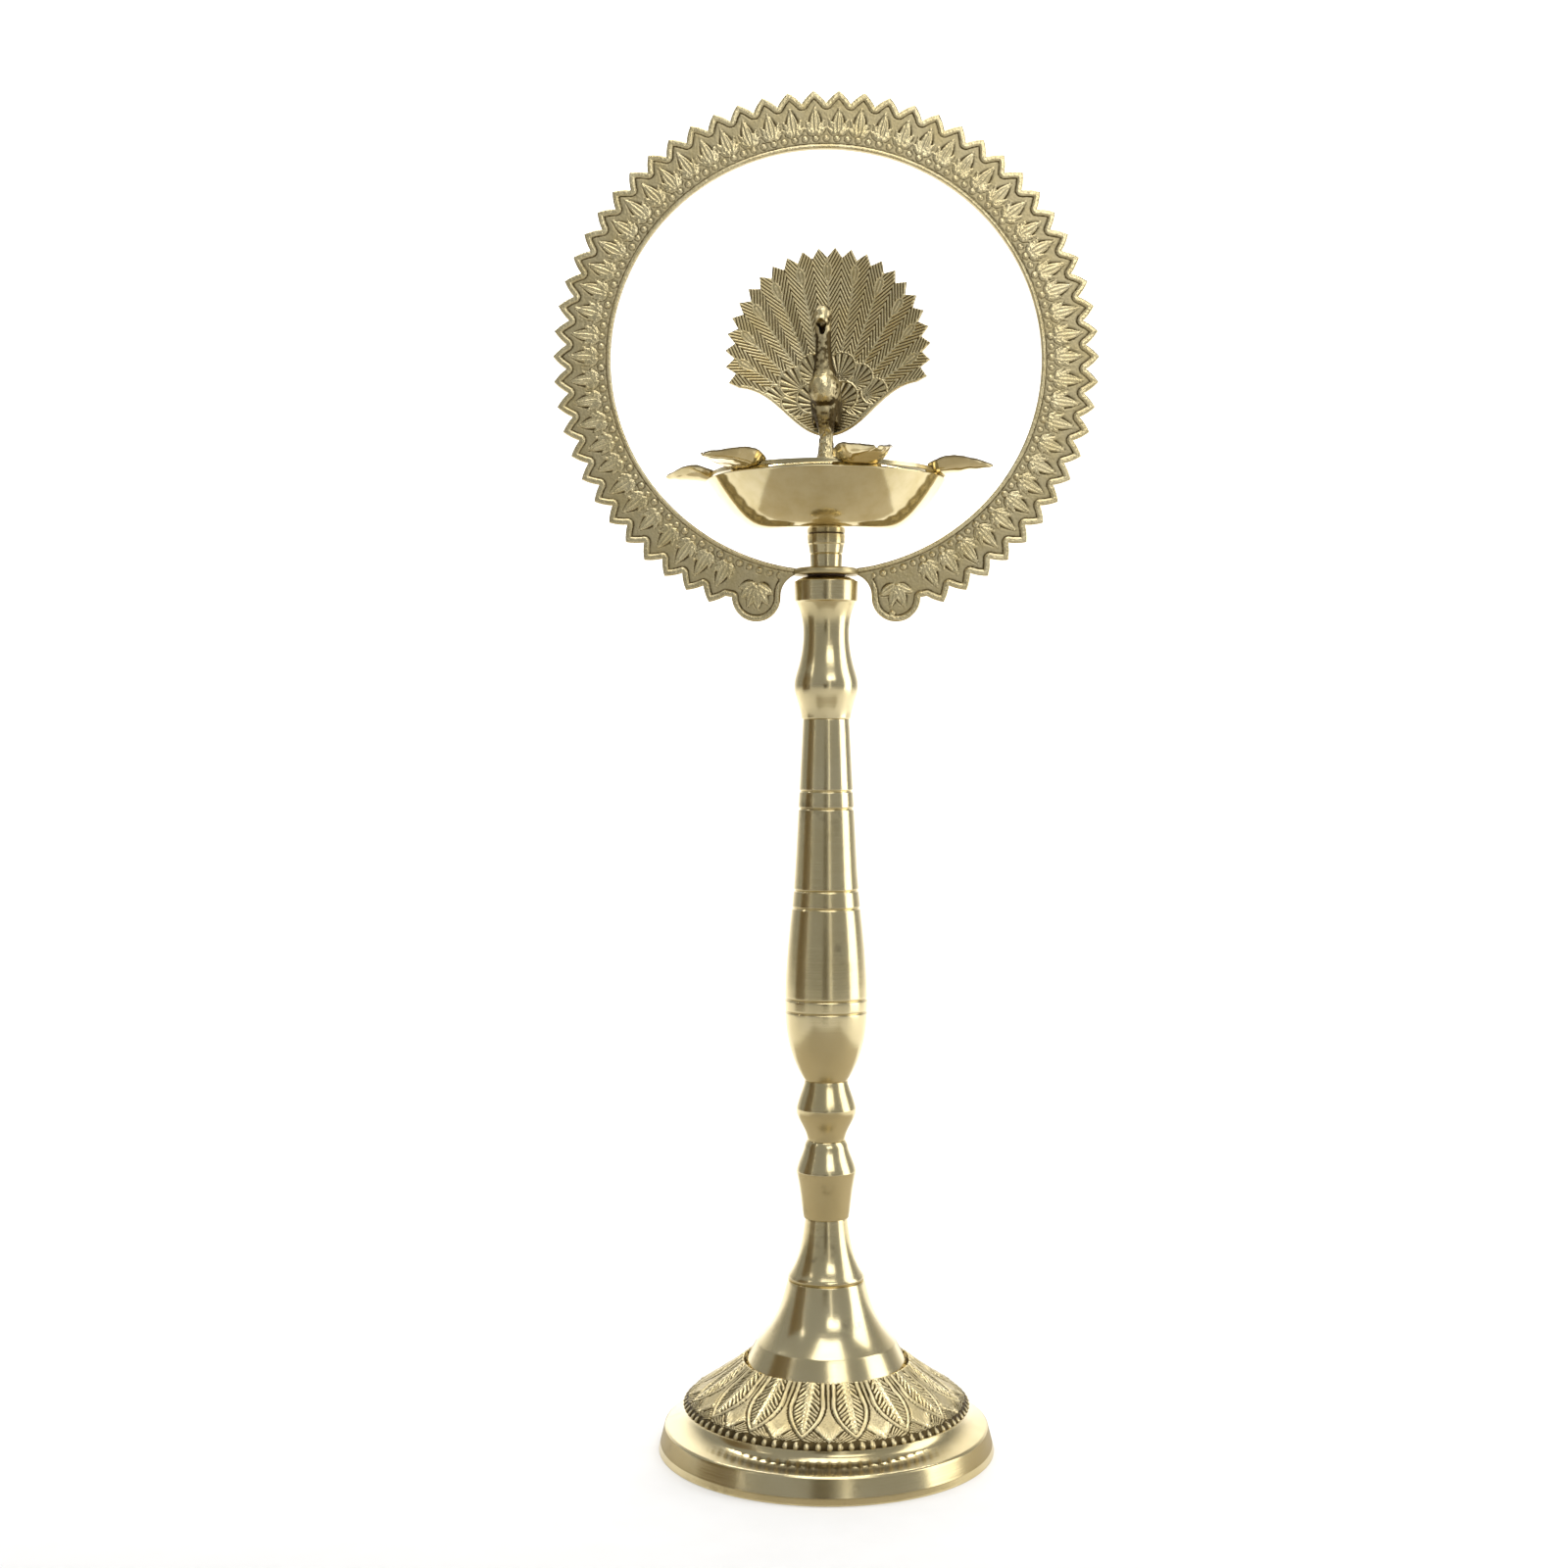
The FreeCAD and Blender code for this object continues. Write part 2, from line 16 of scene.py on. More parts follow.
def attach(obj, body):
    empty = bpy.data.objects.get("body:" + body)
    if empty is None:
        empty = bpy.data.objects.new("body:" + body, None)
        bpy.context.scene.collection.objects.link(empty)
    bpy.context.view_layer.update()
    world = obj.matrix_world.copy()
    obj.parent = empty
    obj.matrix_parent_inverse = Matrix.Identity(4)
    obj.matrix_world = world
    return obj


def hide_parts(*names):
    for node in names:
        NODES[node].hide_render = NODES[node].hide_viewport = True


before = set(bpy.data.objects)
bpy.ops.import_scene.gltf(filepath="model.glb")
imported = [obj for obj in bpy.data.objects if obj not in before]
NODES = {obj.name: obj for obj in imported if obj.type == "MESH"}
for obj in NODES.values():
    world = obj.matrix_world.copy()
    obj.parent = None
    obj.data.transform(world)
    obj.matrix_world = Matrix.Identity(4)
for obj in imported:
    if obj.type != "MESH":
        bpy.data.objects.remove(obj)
bpy.context.view_layer.update()

MM = 0.001
WELD = 2e-6
SEED = 7

# Turned pieces
CORNER_DEG = 18.0
EDGE_BREAK = 0.25
EDGE_STEPS = 3
SEGMENTS = 192

# Relief
LEAF_HEIGHT = 0.65
BEAD_HEIGHT = 0.7
NO_LEAF = -1.0
OUTLINE_DEPTH = 0.45
OUTLINE_END = 1.7
WALL_RELIEF = 0.35
BACK_RELIEF = 0.6
BOSS_RELIEF = 0.45
EDGE_DROP = 0.3
EDGE_WIDTH = 0.3
SAND = 0.035

# Halo; ellipses are (half width, half height)
HALO_CENTRE = (0.0, 489.0)
HALO_HOLE = (97.1, 95.0)
HALO_VALLEY = (117.0, 115.5)
HALO_THICKNESS = 3.0
TOOTH_PITCH_DEG = 5.42
LAST_TOOTH_DEG = 29 * TOOTH_PITCH_DEG
BEAD_ROW = 4.4
BORDER_WIDTH = 2.4
BORDER_HEIGHT = 0.45
BORDER_GROOVE = 0.28
INNER_EDGE_HEIGHT = 0.4
INNER_GROOVE = 0.25
# Side leaves of a tooth: base right and out, lean in degrees, half width, length
SIDE_LEAVES = [(0.8, 6.0, 26, 1.15, 7.8), (0.6, 5.8, 50, 1.0, 5.6)]
# Palmettes of the lobes: side, lean of each leaf in degrees, bead
LOBES = [(-1, (-82, -52, -22, 4, 30, 60), None), (1, (-58, -14, 22, 66), (29.6, 374.6))]
LOBE_BEAD_R = 1.3
BAR_HALF_LENGTH = 21.0
BOSS_R = 14.6
BOSS_BOTTOM_Z = 391.8
BOSS_TOP_Z = 394.8
BOSS_HOLE_R = 4.3
LOBE_X = 31.5
LOBE_TOP_Z = 387.5

# Lotus skirt
SKIRT_TOP_R = 37.6
SKIRT_EDGE_R = 62.8
SKIRT_SLOPE = 30.9
SKIRT_PITCH = math.radians(22.5)
SKIRT_SEGMENTS = 720
LEAF_TIP = 0.93
LEAF_SHOULDER = 0.36
LEAF_BAND = 2.35
RIB_PITCH = 2.3
SKIRT_RELIEF_STRETCH = 1.4
SKIRT_RELIEF_DROP = 0.45
NUB_COUNT = 84
NUB_Z = 20.2
NUB_HALF_WIDTH = 1.2
NUB_HALF_HEIGHT = 1.6
NUB_FLOOR_R = 61.5

# Peacock
FINIAL_TURN_DEG = -11.0
TAIL_CENTRE_Z = 493.0
TAIL_VALLEY_R = 42.8
TAIL_TEETH = 24
TAIL_CORNER_DEG = 110.0
TAIL_DISH_R = 160.0
TAIL_FRONT_Y = 8.0
TAIL_THICKNESS = 2.0
FEATHER_FOOT_Z = 464.0
BARB_LEAN_DEG = 33.0
BARB_STEP = 2.4
BARB_HEIGHT = 0.50
SPINE_HEIGHT = 0.36
EYE_LENGTH = 9.0
EYE_WIDTH = 1.7
EYE_HEIGHT = 0.60
TAIL_RELIEF_STRETCH = 2.6
TAIL_RELIEF_DROP = 0.52
SCALE_FOOT_Z = 466.0
# Ray scales: x, z, radius; the later ones lie over the earlier ones
RAY_SCALES = [
    (-20.8, 466.0, 5.0), (-23.4, 473.0, 6.2), (-15.0, 471.0, 6.6), (-15.7, 480.5, 7.0), (-6.9, 486.5, 7.0),
    (-7.5, 473.0, 7.0), (13.0, 470.5, 6.2), (21.0, 475.0, 6.0), (14.2, 482.0, 6.0), (5.6, 487.0, 6.6),
    (6.5, 473.5, 6.8)]

# Screw under the peacock
SCREW_R = 3.0
SCREW_LOW_Z = 429.5
SCREW_HIGH_Z = 438.4
SCREW_STEP = 0.12

# Oil bowl
SPOUT_COUNT = 6
SPOUT_FIRST_DEG = -75.0
SPOUT_WALL = 1.6
SPOUT_STEPS = 20
SPOUT_RELIEF = 0.75
EDGE_RELIEF = 0.12
TROUGH_RELIEF = 0.4
TROUGH_CLEARANCE = 8.0
RIM_RELIEF = 0.45
TROUGH_START_R = 44.0
TROUGH_END_R = 71.0
# Sections across a spout: distance from the axis, half width, height of its edges and of its underside
SPOUT_SECTIONS = [
    (48.0, 11.0, 438.4, 434.4), (54.0, 12.6, 440.8, 434.9), (60.0, 12.0, 441.8, 435.8),
    (66.0, 9.4, 441.2, 436.6), (71.0, 5.8, 440.0, 437.2), (74.5, 2.6, 439.2, 437.8),
    (75.4, 1.4, 438.9, 438.1)]
BOWL_INSIDE = [
    (0, 414.0), (27.0, 414.0), (36.0, 417.1), (43.2, 423.7), (48.8, 432.0), (49.8, 436.0), (49.8, 452.0),
    (0, 452.0)]
BOWL_BEVEL_Z = 435.5
# Middle of the bowl's wall: heights and radii
BOWL_MIDDLE_Z = (412.0, 416.0, 424.0, 432.0, 437.0)
BOWL_MIDDLE_R = (20.0, 37.5, 45.4, 50.8, 50.8)

# Studio
FLOOR_REACH = 6000
FLOOR_BEND_Y = 2500
FLOOR_BEND_R = 1500
MIDDLE = (0, 0, 0.3)

# Camera, fitted to the way the lamp's rings look
CAMERA_AT = (-0.019, -0.910, 0.311)
CAMERA_LENS = 46.35
CAMERA_SHIFT_Y = -0.0186


# ---------------------------------------------------------------- meshes

def set_points(mesh, points):
    mesh.vertices.foreach_set("co", (np.asarray(points, float) * MM).ravel())


def mesh_from(name, points, faces):
    """Mesh of points in millimetres; faces holds index arrays, each of faces with equal corner counts."""
    mesh = bpy.data.meshes.new(name)
    mesh.vertices.add(len(points))
    set_points(mesh, points)
    corners = [np.asarray(block).ravel() for block in faces]
    sizes = np.concatenate([np.full(len(block), np.asarray(block).shape[1]) for block in faces])
    mesh.loops.add(int(sizes.sum()))
    mesh.loops.foreach_set("vertex_index", np.concatenate(corners))
    mesh.polygons.add(len(sizes))
    mesh.polygons.foreach_set("loop_start", np.concatenate(([0], np.cumsum(sizes)[:-1])))
    mesh.polygons.foreach_set("loop_total", sizes)
    mesh.update(calc_edges=True)
    mesh.validate()
    mesh.shade_smooth()
    return mesh


def object_from(name, mesh):
    piece = bpy.data.objects.new(name, mesh)
    bpy.context.scene.collection.objects.link(piece)
    return piece


def weld(mesh):
    """Merge points that coincide and point the faces outwards."""
    form = bmesh.new()
    form.from_mesh(mesh)
    bmesh.ops.remove_doubles(form, verts=form.verts, dist=WELD)
    bmesh.ops.recalc_face_normals(form, faces=form.faces)
    form.to_mesh(mesh)
    form.free()
    return mesh


def applied(piece):
    """Turn a piece's modifiers into its mesh."""
    bpy.context.view_layer.update()
    mesh = bpy.data.meshes.new_from_object(piece.evaluated_get(bpy.context.evaluated_depsgraph_get()))
    piece.modifiers.clear()
    piece.data = mesh
    return piece


def combined(whole, part, operation):
    """Union or difference of two closed objects; the second one is used up."""
    change = whole.modifiers.new("change", "BOOLEAN")
    change.operation = operation
    change.solver = "MANIFOLD"
    change.object = part
    applied(whole)
    bpy.data.objects.remove(part)
    return whole


def set_relief(mesh, relief):
    """Store how far each point stands out, for the material: 0 in the hollows, 1 on the high parts. On the
    peacock's body it holds a mottle with painted highlight and painted shade instead.
    """
    mesh.attributes.new("relief", "FLOAT", "POINT").data.foreach_set("value", relief)


def relief_object(name, points, faces, relief):
    """Welded object with its relief: one value, or one for each point."""
    mesh = mesh_from(name, points, faces)
    set_relief(mesh, np.full(len(points), relief))
    return object_from(name, weld(mesh))


def finish_piece(piece, body, slot, material, *nodes):
    """Give a new piece its material and body, and let it stand for its CAD nodes; slot is not used."""
    piece.data.materials.clear()
    piece.data.materials.append(material)
    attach(piece, body)
    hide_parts(*nodes)
    return piece


def grid_faces(rows, columns, wrap_rows=True, wrap_columns=True):
    """Quads of a grid of points stored row after row."""
    row = np.arange(rows if wrap_rows else rows - 1)
    column = np.arange(columns if wrap_columns else columns - 1)
    row, column = (index.ravel() for index in np.meshgrid(row, column, indexing="ij"))
    next_row = (row + 1) % rows
    next_column = (column + 1) % columns
    return np.column_stack((
        row * columns + column, row * columns + next_column,
        next_row * columns + next_column, next_row * columns + column))


# ---------------------------------------------------------------- turned pieces

def low_first(vert):
    """Sort key that makes a walk round a section start and turn the same way every time."""
    return vert.co.z, vert.co.x


def half_section(node):
    """Ordered (radius, height) points of a turned CAD node in the half plane at angle 0, in millimetres."""
    form = bmesh.new()
    form.from_mesh(NODES[node].data)
    bmesh.ops.remove_doubles(form, verts=form.verts, dist=WELD)
    for normal, clear in (((1, 0, 0), True), ((0, 1, 0), False)):
        parts = form.verts[:] + form.edges[:] + form.faces[:]
        cut = bmesh.ops.bisect_plane(
            form, geom=parts, dist=WELD / 2, plane_co=(0, 0, 0), plane_no=normal, clear_inner=clear)
    on_plane = {item for item in cut["geom_cut"] if isinstance(item, bmesh.types.BMEdge)}
    on_plane |= {edge for edge in form.edges if all(abs(vert.co.y) < WELD / 2 for vert in edge.verts)}
    links = {}
    for edge in on_plane:
        first, second = edge.verts
        if max(first.co.x, second.co.x) < WELD:
            continue
        links.setdefault(first, []).append(second)
        links.setdefault(second, []).append(first)
    ends = [vert for vert, near in links.items() if len(near) == 1]
    here = min(ends or links, key=low_first)
    walk = [here]
    seen = {here}
    while True:
        near = [vert for vert in links[here] if vert not in seen]
        if not near:
            break
        here = min(near, key=low_first)
        seen.add(here)
        walk.append(here)
    outline = np.array([(vert.co.x, vert.co.z) for vert in walk]) / MM
    form.free()
    return outline, not ends


def turning(outline):
    """Turn in degrees at each point of a closed outline."""
    before = outline - np.roll(outline, 1, axis=0)
    after = np.roll(outline, -1, axis=0) - outline
    cross = before[:, 0] * after[:, 1] - before[:, 1] * after[:, 0]
    return np.degrees(np.arctan2(cross, (before * after).sum(axis=1)))


def smooth_run(run, spacing):
    """Evenly spaced points on the natural cubic curve through a run of section points."""
    lengths = np.linalg.norm(np.diff(run, axis=0), axis=1)
    knots = np.concatenate(([0.0], np.cumsum(lengths)))
    count = max(int(round(knots[-1] / spacing)), 2) + 1
    at = np.linspace(0, knots[-1], count)
    if len(run) == 2:
        return run[0] + (run[1] - run[0]) * (at / knots[-1])[:, None]
    size = len(run)
    system = np.eye(size)
    right = np.zeros_like(run)
    slope = np.diff(run, axis=0) / lengths[:, None]
    for k in range(1, size - 1):
        system[k, k - 1:k + 2] = lengths[k - 1], 2 * (lengths[k - 1] + lengths[k]), lengths[k]
        right[k] = 6 * (slope[k] - slope[k - 1])
    bend = np.linalg.solve(system, right)
    k = np.clip(np.searchsorted(knots, at, side="right") - 1, 0, size - 2)
    step = lengths[k][:, None]
    into = (at - knots[k])[:, None]
    left = step - into
    return (bend[k] * left ** 3 / (6 * step) + bend[k + 1] * into ** 3 / (6 * step)
            + (run[k] / step - bend[k] * step / 6) * left
            + (run[k + 1] / step - bend[k + 1] * step / 6) * into)


def broken_corner(before, corner, after):
    """Points of the small round that takes the edge off a corner."""
    ends = []
    for other in (before, after):
        length = np.linalg.norm(other - corner)
        ends.append(corner + (other - corner) * min(EDGE_BREAK / length, 0.4))
    t = np.linspace(0, 1, EDGE_STEPS + 1)[:, None]
    return ends[0] * (1 - t) ** 2 + corner * 2 * t * (1 - t) + ends[1] * t ** 2


def fine_section(node, spacing):
    """Half section of a turned node with smooth curves and broken edges, and whether it is closed."""
    outline, closed = half_section(node)
    turn = turning(outline)
    if closed:
        first = int(np.argmax(np.abs(turn)))
        outline = np.roll(outline, -first, axis=0)
        turn = np.roll(turn, -first)
        outline = np.vstack((outline, outline[:1]))
        turn = np.append(turn, turn[0])
    corners = [k for k in range(len(outline)) if abs(turn[k]) > CORNER_DEG or k in (0, len(outline) - 1)]
    runs = [smooth_run(outline[a:b + 1], spacing) for a, b in zip(corners, corners[1:])]
    points = []
    for k, run in enumerate(runs):
        points.append(run[1:-1])
        following = runs[(k + 1) % len(runs)]
        if closed or k + 1 < len(runs):
            points.append(broken_corner(run[-2], run[-1], following[1]))
    if not closed:
        points = [outline[:1]] + points + [outline[-1:]]
    return np.vstack(points), closed


def spun(outline, closed, segments=SEGMENTS, reshape=None):
    """Points and faces of a section spun round the axis; reshape may move the points in or out."""
    angle = np.arange(segments) * (2 * math.pi / segments)
    radius = np.repeat(outline[:, :1], segments, axis=1)
    height = np.repeat(outline[:, 1:], segments, axis=1)
    angle = np.repeat(angle[None], len(outline), axis=0)
    if reshape:
        radius, height = reshape(radius, height, angle)
    points = np.stack((radius * np.cos(angle), radius * np.sin(angle), height), axis=-1).reshape(-1, 3)
    return points, grid_faces(len(outline), segments, wrap_rows=closed)


def thread(low, high, radius, pitch=1.25, depth=0.45):
    """Reshape function that cuts a thread into the stretch of a turned piece at that radius and height."""
    def reshape(r, z, angle):
        ridge = 0.5 + 0.5 * np.cos(2 * math.pi * (z / pitch - angle / (2 * math.pi)))
        fade = np.clip((z - low) / pitch, 0, 1) * np.clip((high - z) / pitch, 0, 1)
        on_thread = (np.abs(r - radius) < 0.02) & (z > low) & (z < high)
        return np.where(on_thread, r - depth * ridge * fade, r), z
    return reshape


def turned_piece(node, body, material, spacing=0.9, segments=SEGMENTS, reshape=None, slot="turned_brass"):
    outline, closed = fine_section(node, spacing)
    points, faces = spun(outline, closed, segments, reshape)
    piece = object_from("v_" + node, weld(mesh_from("v_" + node, points, [faces])))
    return finish_piece(piece, body, slot, material, node)


# ---------------------------------------------------------------- cast sheets

def smooth_step(value, low, high):
    """0 below low, 1 above high and a soft slope between; high may be the smaller one."""
    share = np.clip((value - low) / (high - low), 0, 1)
    return share * share * (3 - 2 * share)


def plateau(value, start, full, fading, end):
    """0 before start and after end, 1 from full to fading."""
    return smooth_step(value, start, full) * smooth_step(value, end, fading)


def sand(count, seed, depth):
    """Sandy unevenness of a cast face."""
    return np.random.default_rng(seed).normal(0, depth, count)


def face_outlines(node, on_face):
    """Closed (x, z) outlines in millimetres, longest first, of the part of a node that on_face accepts."""
    mesh = NODES[node].data
    points = np.array([vert.co for vert in mesh.vertices]) / MM
    points, accepted = on_face(points)
    keys = [tuple(key) for key in np.round(points[:, [0, 2]], 3).tolist()]
    sides = set()
    for polygon in mesh.polygons:
        if accepted[polygon.vertices].all():
            corners = [keys[index] for index in polygon.vertices]
            sides.update(zip(corners, corners[1:] + corners[:1]))
    following = {first: second for first, second in sides if (second, first) not in sides}
    outlines = []
    while following:
        start, here = following.popitem()
        walk = [start]
        while here != start:
            walk.append(here)
            here = following.pop(here)
        outlines.append(np.array(walk))
    return sorted(outlines, key=len, reverse=True)


def smooth_outline(outline, spacing):
    """Closed outline with an even spacing; curves are made smooth and corners kept."""
    step = np.linalg.norm(outline - np.roll(outline, 1, axis=0), axis=1)
    outline = outline[step > 0.02]
    turn = turning(outline)
    first = int(np.argmax(np.abs(turn)))
    outline = np.roll(outline, -first, axis=0)
    turn = np.abs(np.roll(turn, -first))
    corners = [0] + [k for k in range(1, len(outline)) if turn[k] > CORNER_DEG] + [len(outline)]
    outline = np.vstack((outline, outline[:1]))
    return np.vstack([smooth_run(outline[a:b + 1], spacing)[:-1] for a, b in zip(corners, corners[1:])])


def reach_inside(points, outlines):
    """Distance of each point from the outlines: above zero on the metal's side of them."""
    ends = np.vstack(outlines)
    along = np.vstack([np.roll(outline, -1, axis=0) - np.roll(outline, 1, axis=0) for outline in outlines])
    tree = KDTree(len(ends))
    for index, (x, z) in enumerate(ends.tolist()):
        tree.insert((x, z, 0), index)
    tree.balance()
    found = [tree.find((x, z, 0))[1:] for x, z in points.tolist()]
    index = np.array([item[0] for item in found])
    distance = np.array([item[1] for item in found])
    offset = points - ends[index]
    side = along[index, 0] * offset[:, 1] - along[index, 1] * offset[:, 0]
    return np.where(side < 0, -distance, distance)


def enclosed(points, outlines):
    """Whether each point is within the outlines, from the number of sides to the right of it."""
    starts = np.vstack(outlines)
    ends = np.vstack([np.roll(outline, -1, axis=0) for outline in outlines])
    level = points[:, 1:]
    spans = (starts[:, 1] > level) != (ends[:, 1] > level)
    rise = np.where(spans, ends[:, 1] - starts[:, 1], 1)
    meets = starts[:, 0] + (level - starts[:, 1]) / rise * (ends[:, 0] - starts[:, 0])
    return (spans & (meets > points[:, :1])).sum(axis=1) % 2 == 1


def filled(outlines, spacing):
    """Points and triangles that fill the outlines evenly; the outlines' own points come first."""
    edge_points = np.vstack(outlines)
    low = edge_points.min(axis=0) + spacing / 2
    high = edge_points.max(axis=0) - spacing / 2
    rows = np.arange(low[1], high[1], spacing * math.sqrt(0.75))
    shift = np.where(np.arange(len(rows)) % 2, spacing / 2, 0)
    across = np.arange(low[0], high[0], spacing)[None] + shift[:, None]
    up = np.broadcast_to(rows[:, None], across.shape)
    grid = np.column_stack((across.ravel(), up.ravel()))
    reach = reach_inside(grid, outlines)
    near_edge = np.flatnonzero(np.abs(reach) < 2 * spacing)
    reach[near_edge] = np.where(enclosed(grid[near_edge], outlines), np.abs(reach[near_edge]), -1)
    grid = grid[reach > 0.6 * spacing]
    points = np.vstack((edge_points, grid))
    edges = []
    start = 0
    for outline in outlines:
        index = np.arange(start, start + len(outline))
        edges += zip(index.tolist(), np.roll(index, -1).tolist())
        start += len(outline)
    vectors = [Vector(point) for point in points.tolist()]
    triangles = np.array(delaunay_2d_cdt(vectors, edges, [], 1, 1e-6, False)[2])
    on_edge = np.flatnonzero((triangles < start).all(axis=1))
    outside = ~enclosed(points[triangles[on_edge]].mean(axis=1), outlines)
    return points, np.delete(triangles, on_edge[outside], axis=0)


def cast_sheet(name, outlines, spacing, back_spacing, front, back):
    """Closed sheet; front and back turn (x, z) points into points in space and their relief."""
    flat, front_faces = filled(outlines, spacing)
    flat_back, back_faces = filled(outlines, back_spacing)
    edge_count = sum(len(outline) for outline in outlines)
    front_points, front_relief = front(flat)
    back_points, back_relief = back(flat_back)
    wall_rings = []
    for share in (0.2, 0.8):
        wall_rings.append(front_points[:edge_count] * (1 - share) + back_points[:edge_count] * share)
    points = np.vstack([front_points] + wall_rings + [back_points])
    relief = np.concatenate((front_relief, np.full(2 * edge_count, WALL_RELIEF), back_relief))
    first_wall = len(front_points)
    first_back = first_wall + 2 * edge_count
    ring_starts = (0, first_wall, first_wall + edge_count, first_back)
    walls = []
    start = 0
    for outline in outlines:
        index = np.arange(start, start + len(outline))
        following = np.roll(index, -1)
        for near, far in zip(ring_starts, ring_starts[1:]):
            walls.append(np.column_stack((index + near, index + far, following + far, following + near)))
        start += len(outline)
    faces = [front_faces, back_faces[:, ::-1] + first_back, np.vstack(walls)]
    return relief_object(name, points, faces, relief)


def edge_drop(flat, outlines):
    """How far a sheet's faces fall back at its edges."""
    return EDGE_DROP * smooth_step(np.abs(reach_inside(flat, outlines)), EDGE_WIDTH, 0)


def leaf(across, along, half_width, length):
    """Share of full height of a leaf that grows from (0, 0): a vein, two side ridges and a sunk outline.

    It is NO_LEAF away from the leaf, so that the highest of several leaves counts.
    """
    grown = np.clip(along / length, 1e-3, 0.999)
    width = half_width * np.sin(math.pi * grown ** 0.75) + 0.05
    place = np.abs(across) / width
    ridges = 0.45 + 0.55 * np.cos(2 * math.pi * 1.1 * place)
    body = (0.45 + 0.55 * ridges) * smooth_step(place, 1.1, 0.85)
    outline = -OUTLINE_DEPTH * plateau(place, 0.95, 1.15, 1.25, OUTLINE_END)
    near = (place < OUTLINE_END) & (along > 0) & (along < length)
    return np.where(near, body + outline, NO_LEAF)


def turned_leaf(across, along, base, lean_deg, half_width, length):
    """Leaf that grows from the base at an angle to the right of straight outward."""
    lean = math.radians(lean_deg)
    right = across - base[0]
    out = along - base[1]
    return leaf(
        right * math.cos(lean) - out * math.sin(lean),
        out * math.cos(lean) + right * math.sin(lean), half_width, length)


def bead(distance, radius):
    """Height of a round bead with a dimple and a sunk ring round it."""
    dome = np.sqrt(np.clip(1 - (distance / radius) ** 2, 0, 1))
    ring = plateau(distance, 0.9 * radius, 1.1 * radius, 1.3 * radius, 1.6 * radius)
    return BEAD_HEIGHT * dome - 0.25 * np.exp(-(distance / 0.4) ** 2) - 0.18 * ring


def to_relief(height):
    """Relief value for the material from a height in millimetres."""
    return np.clip((height + 0.4) / 1.1, 0, 1)


# ---------------------------------------------------------------- halo

def halo_place(flat, pitch_deg, shift):
    """Nearest spoke number of each point, and its place right of that spoke and out from the hole."""
    right, up = (flat - HALO_CENTRE).T
    angle = np.degrees(np.arctan2(right / HALO_VALLEY[0], up / HALO_VALLEY[1]))
    spoke = np.round(angle / pitch_deg - shift) + shift
    middle = np.radians(spoke * pitch_deg)
    outward = np.stack((HALO_VALLEY[0] * np.sin(middle), HALO_VALLEY[1] * np.cos(middle)))
    outward /= np.linalg.norm(outward, axis=0)
    hole = 1 / np.hypot(outward[0] / HALO_HOLE[0], outward[1] / HALO_HOLE[1])
    along = right * outward[0] + up * outward[1]
    across = right * outward[1] - up * outward[0]
    return angle, spoke, across, along - hole


def tooth_leaves(flat, rng):
    """Palmette of five leaves in every tooth; each one is cut a little differently."""
    angle, spoke, across, along = halo_place(flat, TOOTH_PITCH_DEG, 0.5)
    number = (spoke - spoke.min()).astype(int)
    slips = rng.uniform(-1, 1, (number.max() + 1, 3))[number]
    across = across + 0.25 * slips[:, 0] + 0.03 * slips[:, 1] * along
    height = leaf(across, along - 6.2, 2.2, 12.6 + 0.5 * slips[:, 2])
    for side in (-1, 1):
        for right, out, lean, half_width, length in SIDE_LEAVES:
            side_leaf = turned_leaf(across, along, (side * right, out), side * lean, half_width, length)
            height = np.maximum(height, side_leaf)
    return np.where(np.abs(angle) < LAST_TOOTH_DEG, height, NO_LEAF)


def lobe_leaves(flat):
    """Hanging palmettes on the two lobes; the right one is less regular and has a bead at its foot."""
    height = np.full(len(flat), NO_LEAF)
    for side, leans, bead_at in LOBES:
        right = flat[:, 0] - side * LOBE_X
        down = LOBE_TOP_Z - flat[:, 1]
        for k, lean in enumerate(leans):
            half_width = 2.0 - 0.25 * side * (k % 2)
            length = 12.4 - 0.05 * abs(lean) - 0.7 * (k % 2)
            height = np.maximum(height, turned_leaf(right, down, (0, 0), lean, half_width, length))
        if bead_at:
            distance = np.hypot(*(flat - bead_at).T)
            height = np.where(distance < LOBE_BEAD_R + 0.5, bead(distance, LOBE_BEAD_R) / LEAF_HEIGHT, height)
    return height


def halo_height(flat, outer_edge):
    """Height of the halo's relief above its ground."""
    rng = np.random.default_rng(SEED)
    reach = np.abs(reach_inside(flat, [outer_edge]))
    on_bar = (np.abs(flat[:, 0]) < BAR_HALF_LENGTH) & (flat[:, 1] < HALO_CENTRE[1])
    _, spoke, across, along = halo_place(flat, TOOTH_PITCH_DEG / 2, 0)
    beads = bead(np.hypot(across, along - BEAD_ROW), 1.2 + 0.12 * np.sin(3.1 * spoke))
    leaves = np.maximum(tooth_leaves(flat, rng), lobe_leaves(flat))
    pattern = np.where(leaves > NO_LEAF, LEAF_HEIGHT * leaves, beads)
    ground = rng.normal(0, SAND, len(flat))
    past_border = reach - BORDER_WIDTH
    border = smooth_step(past_border, 0.2, -0.25)
    height = pattern * (1 - border) + BORDER_HEIGHT * border
    height = height - BORDER_GROOVE * plateau(past_border, 0, 0.25, 0.5, 1.1)
    height = np.where(on_bar, 0, height)
    inner = smooth_step(along, 1.9, 1.5)
    height = height * (1 - inner) + INNER_EDGE_HEIGHT * inner
    return height - INNER_GROOVE * plateau(along, 1.5, 1.8, 2.1, 2.5) + ground


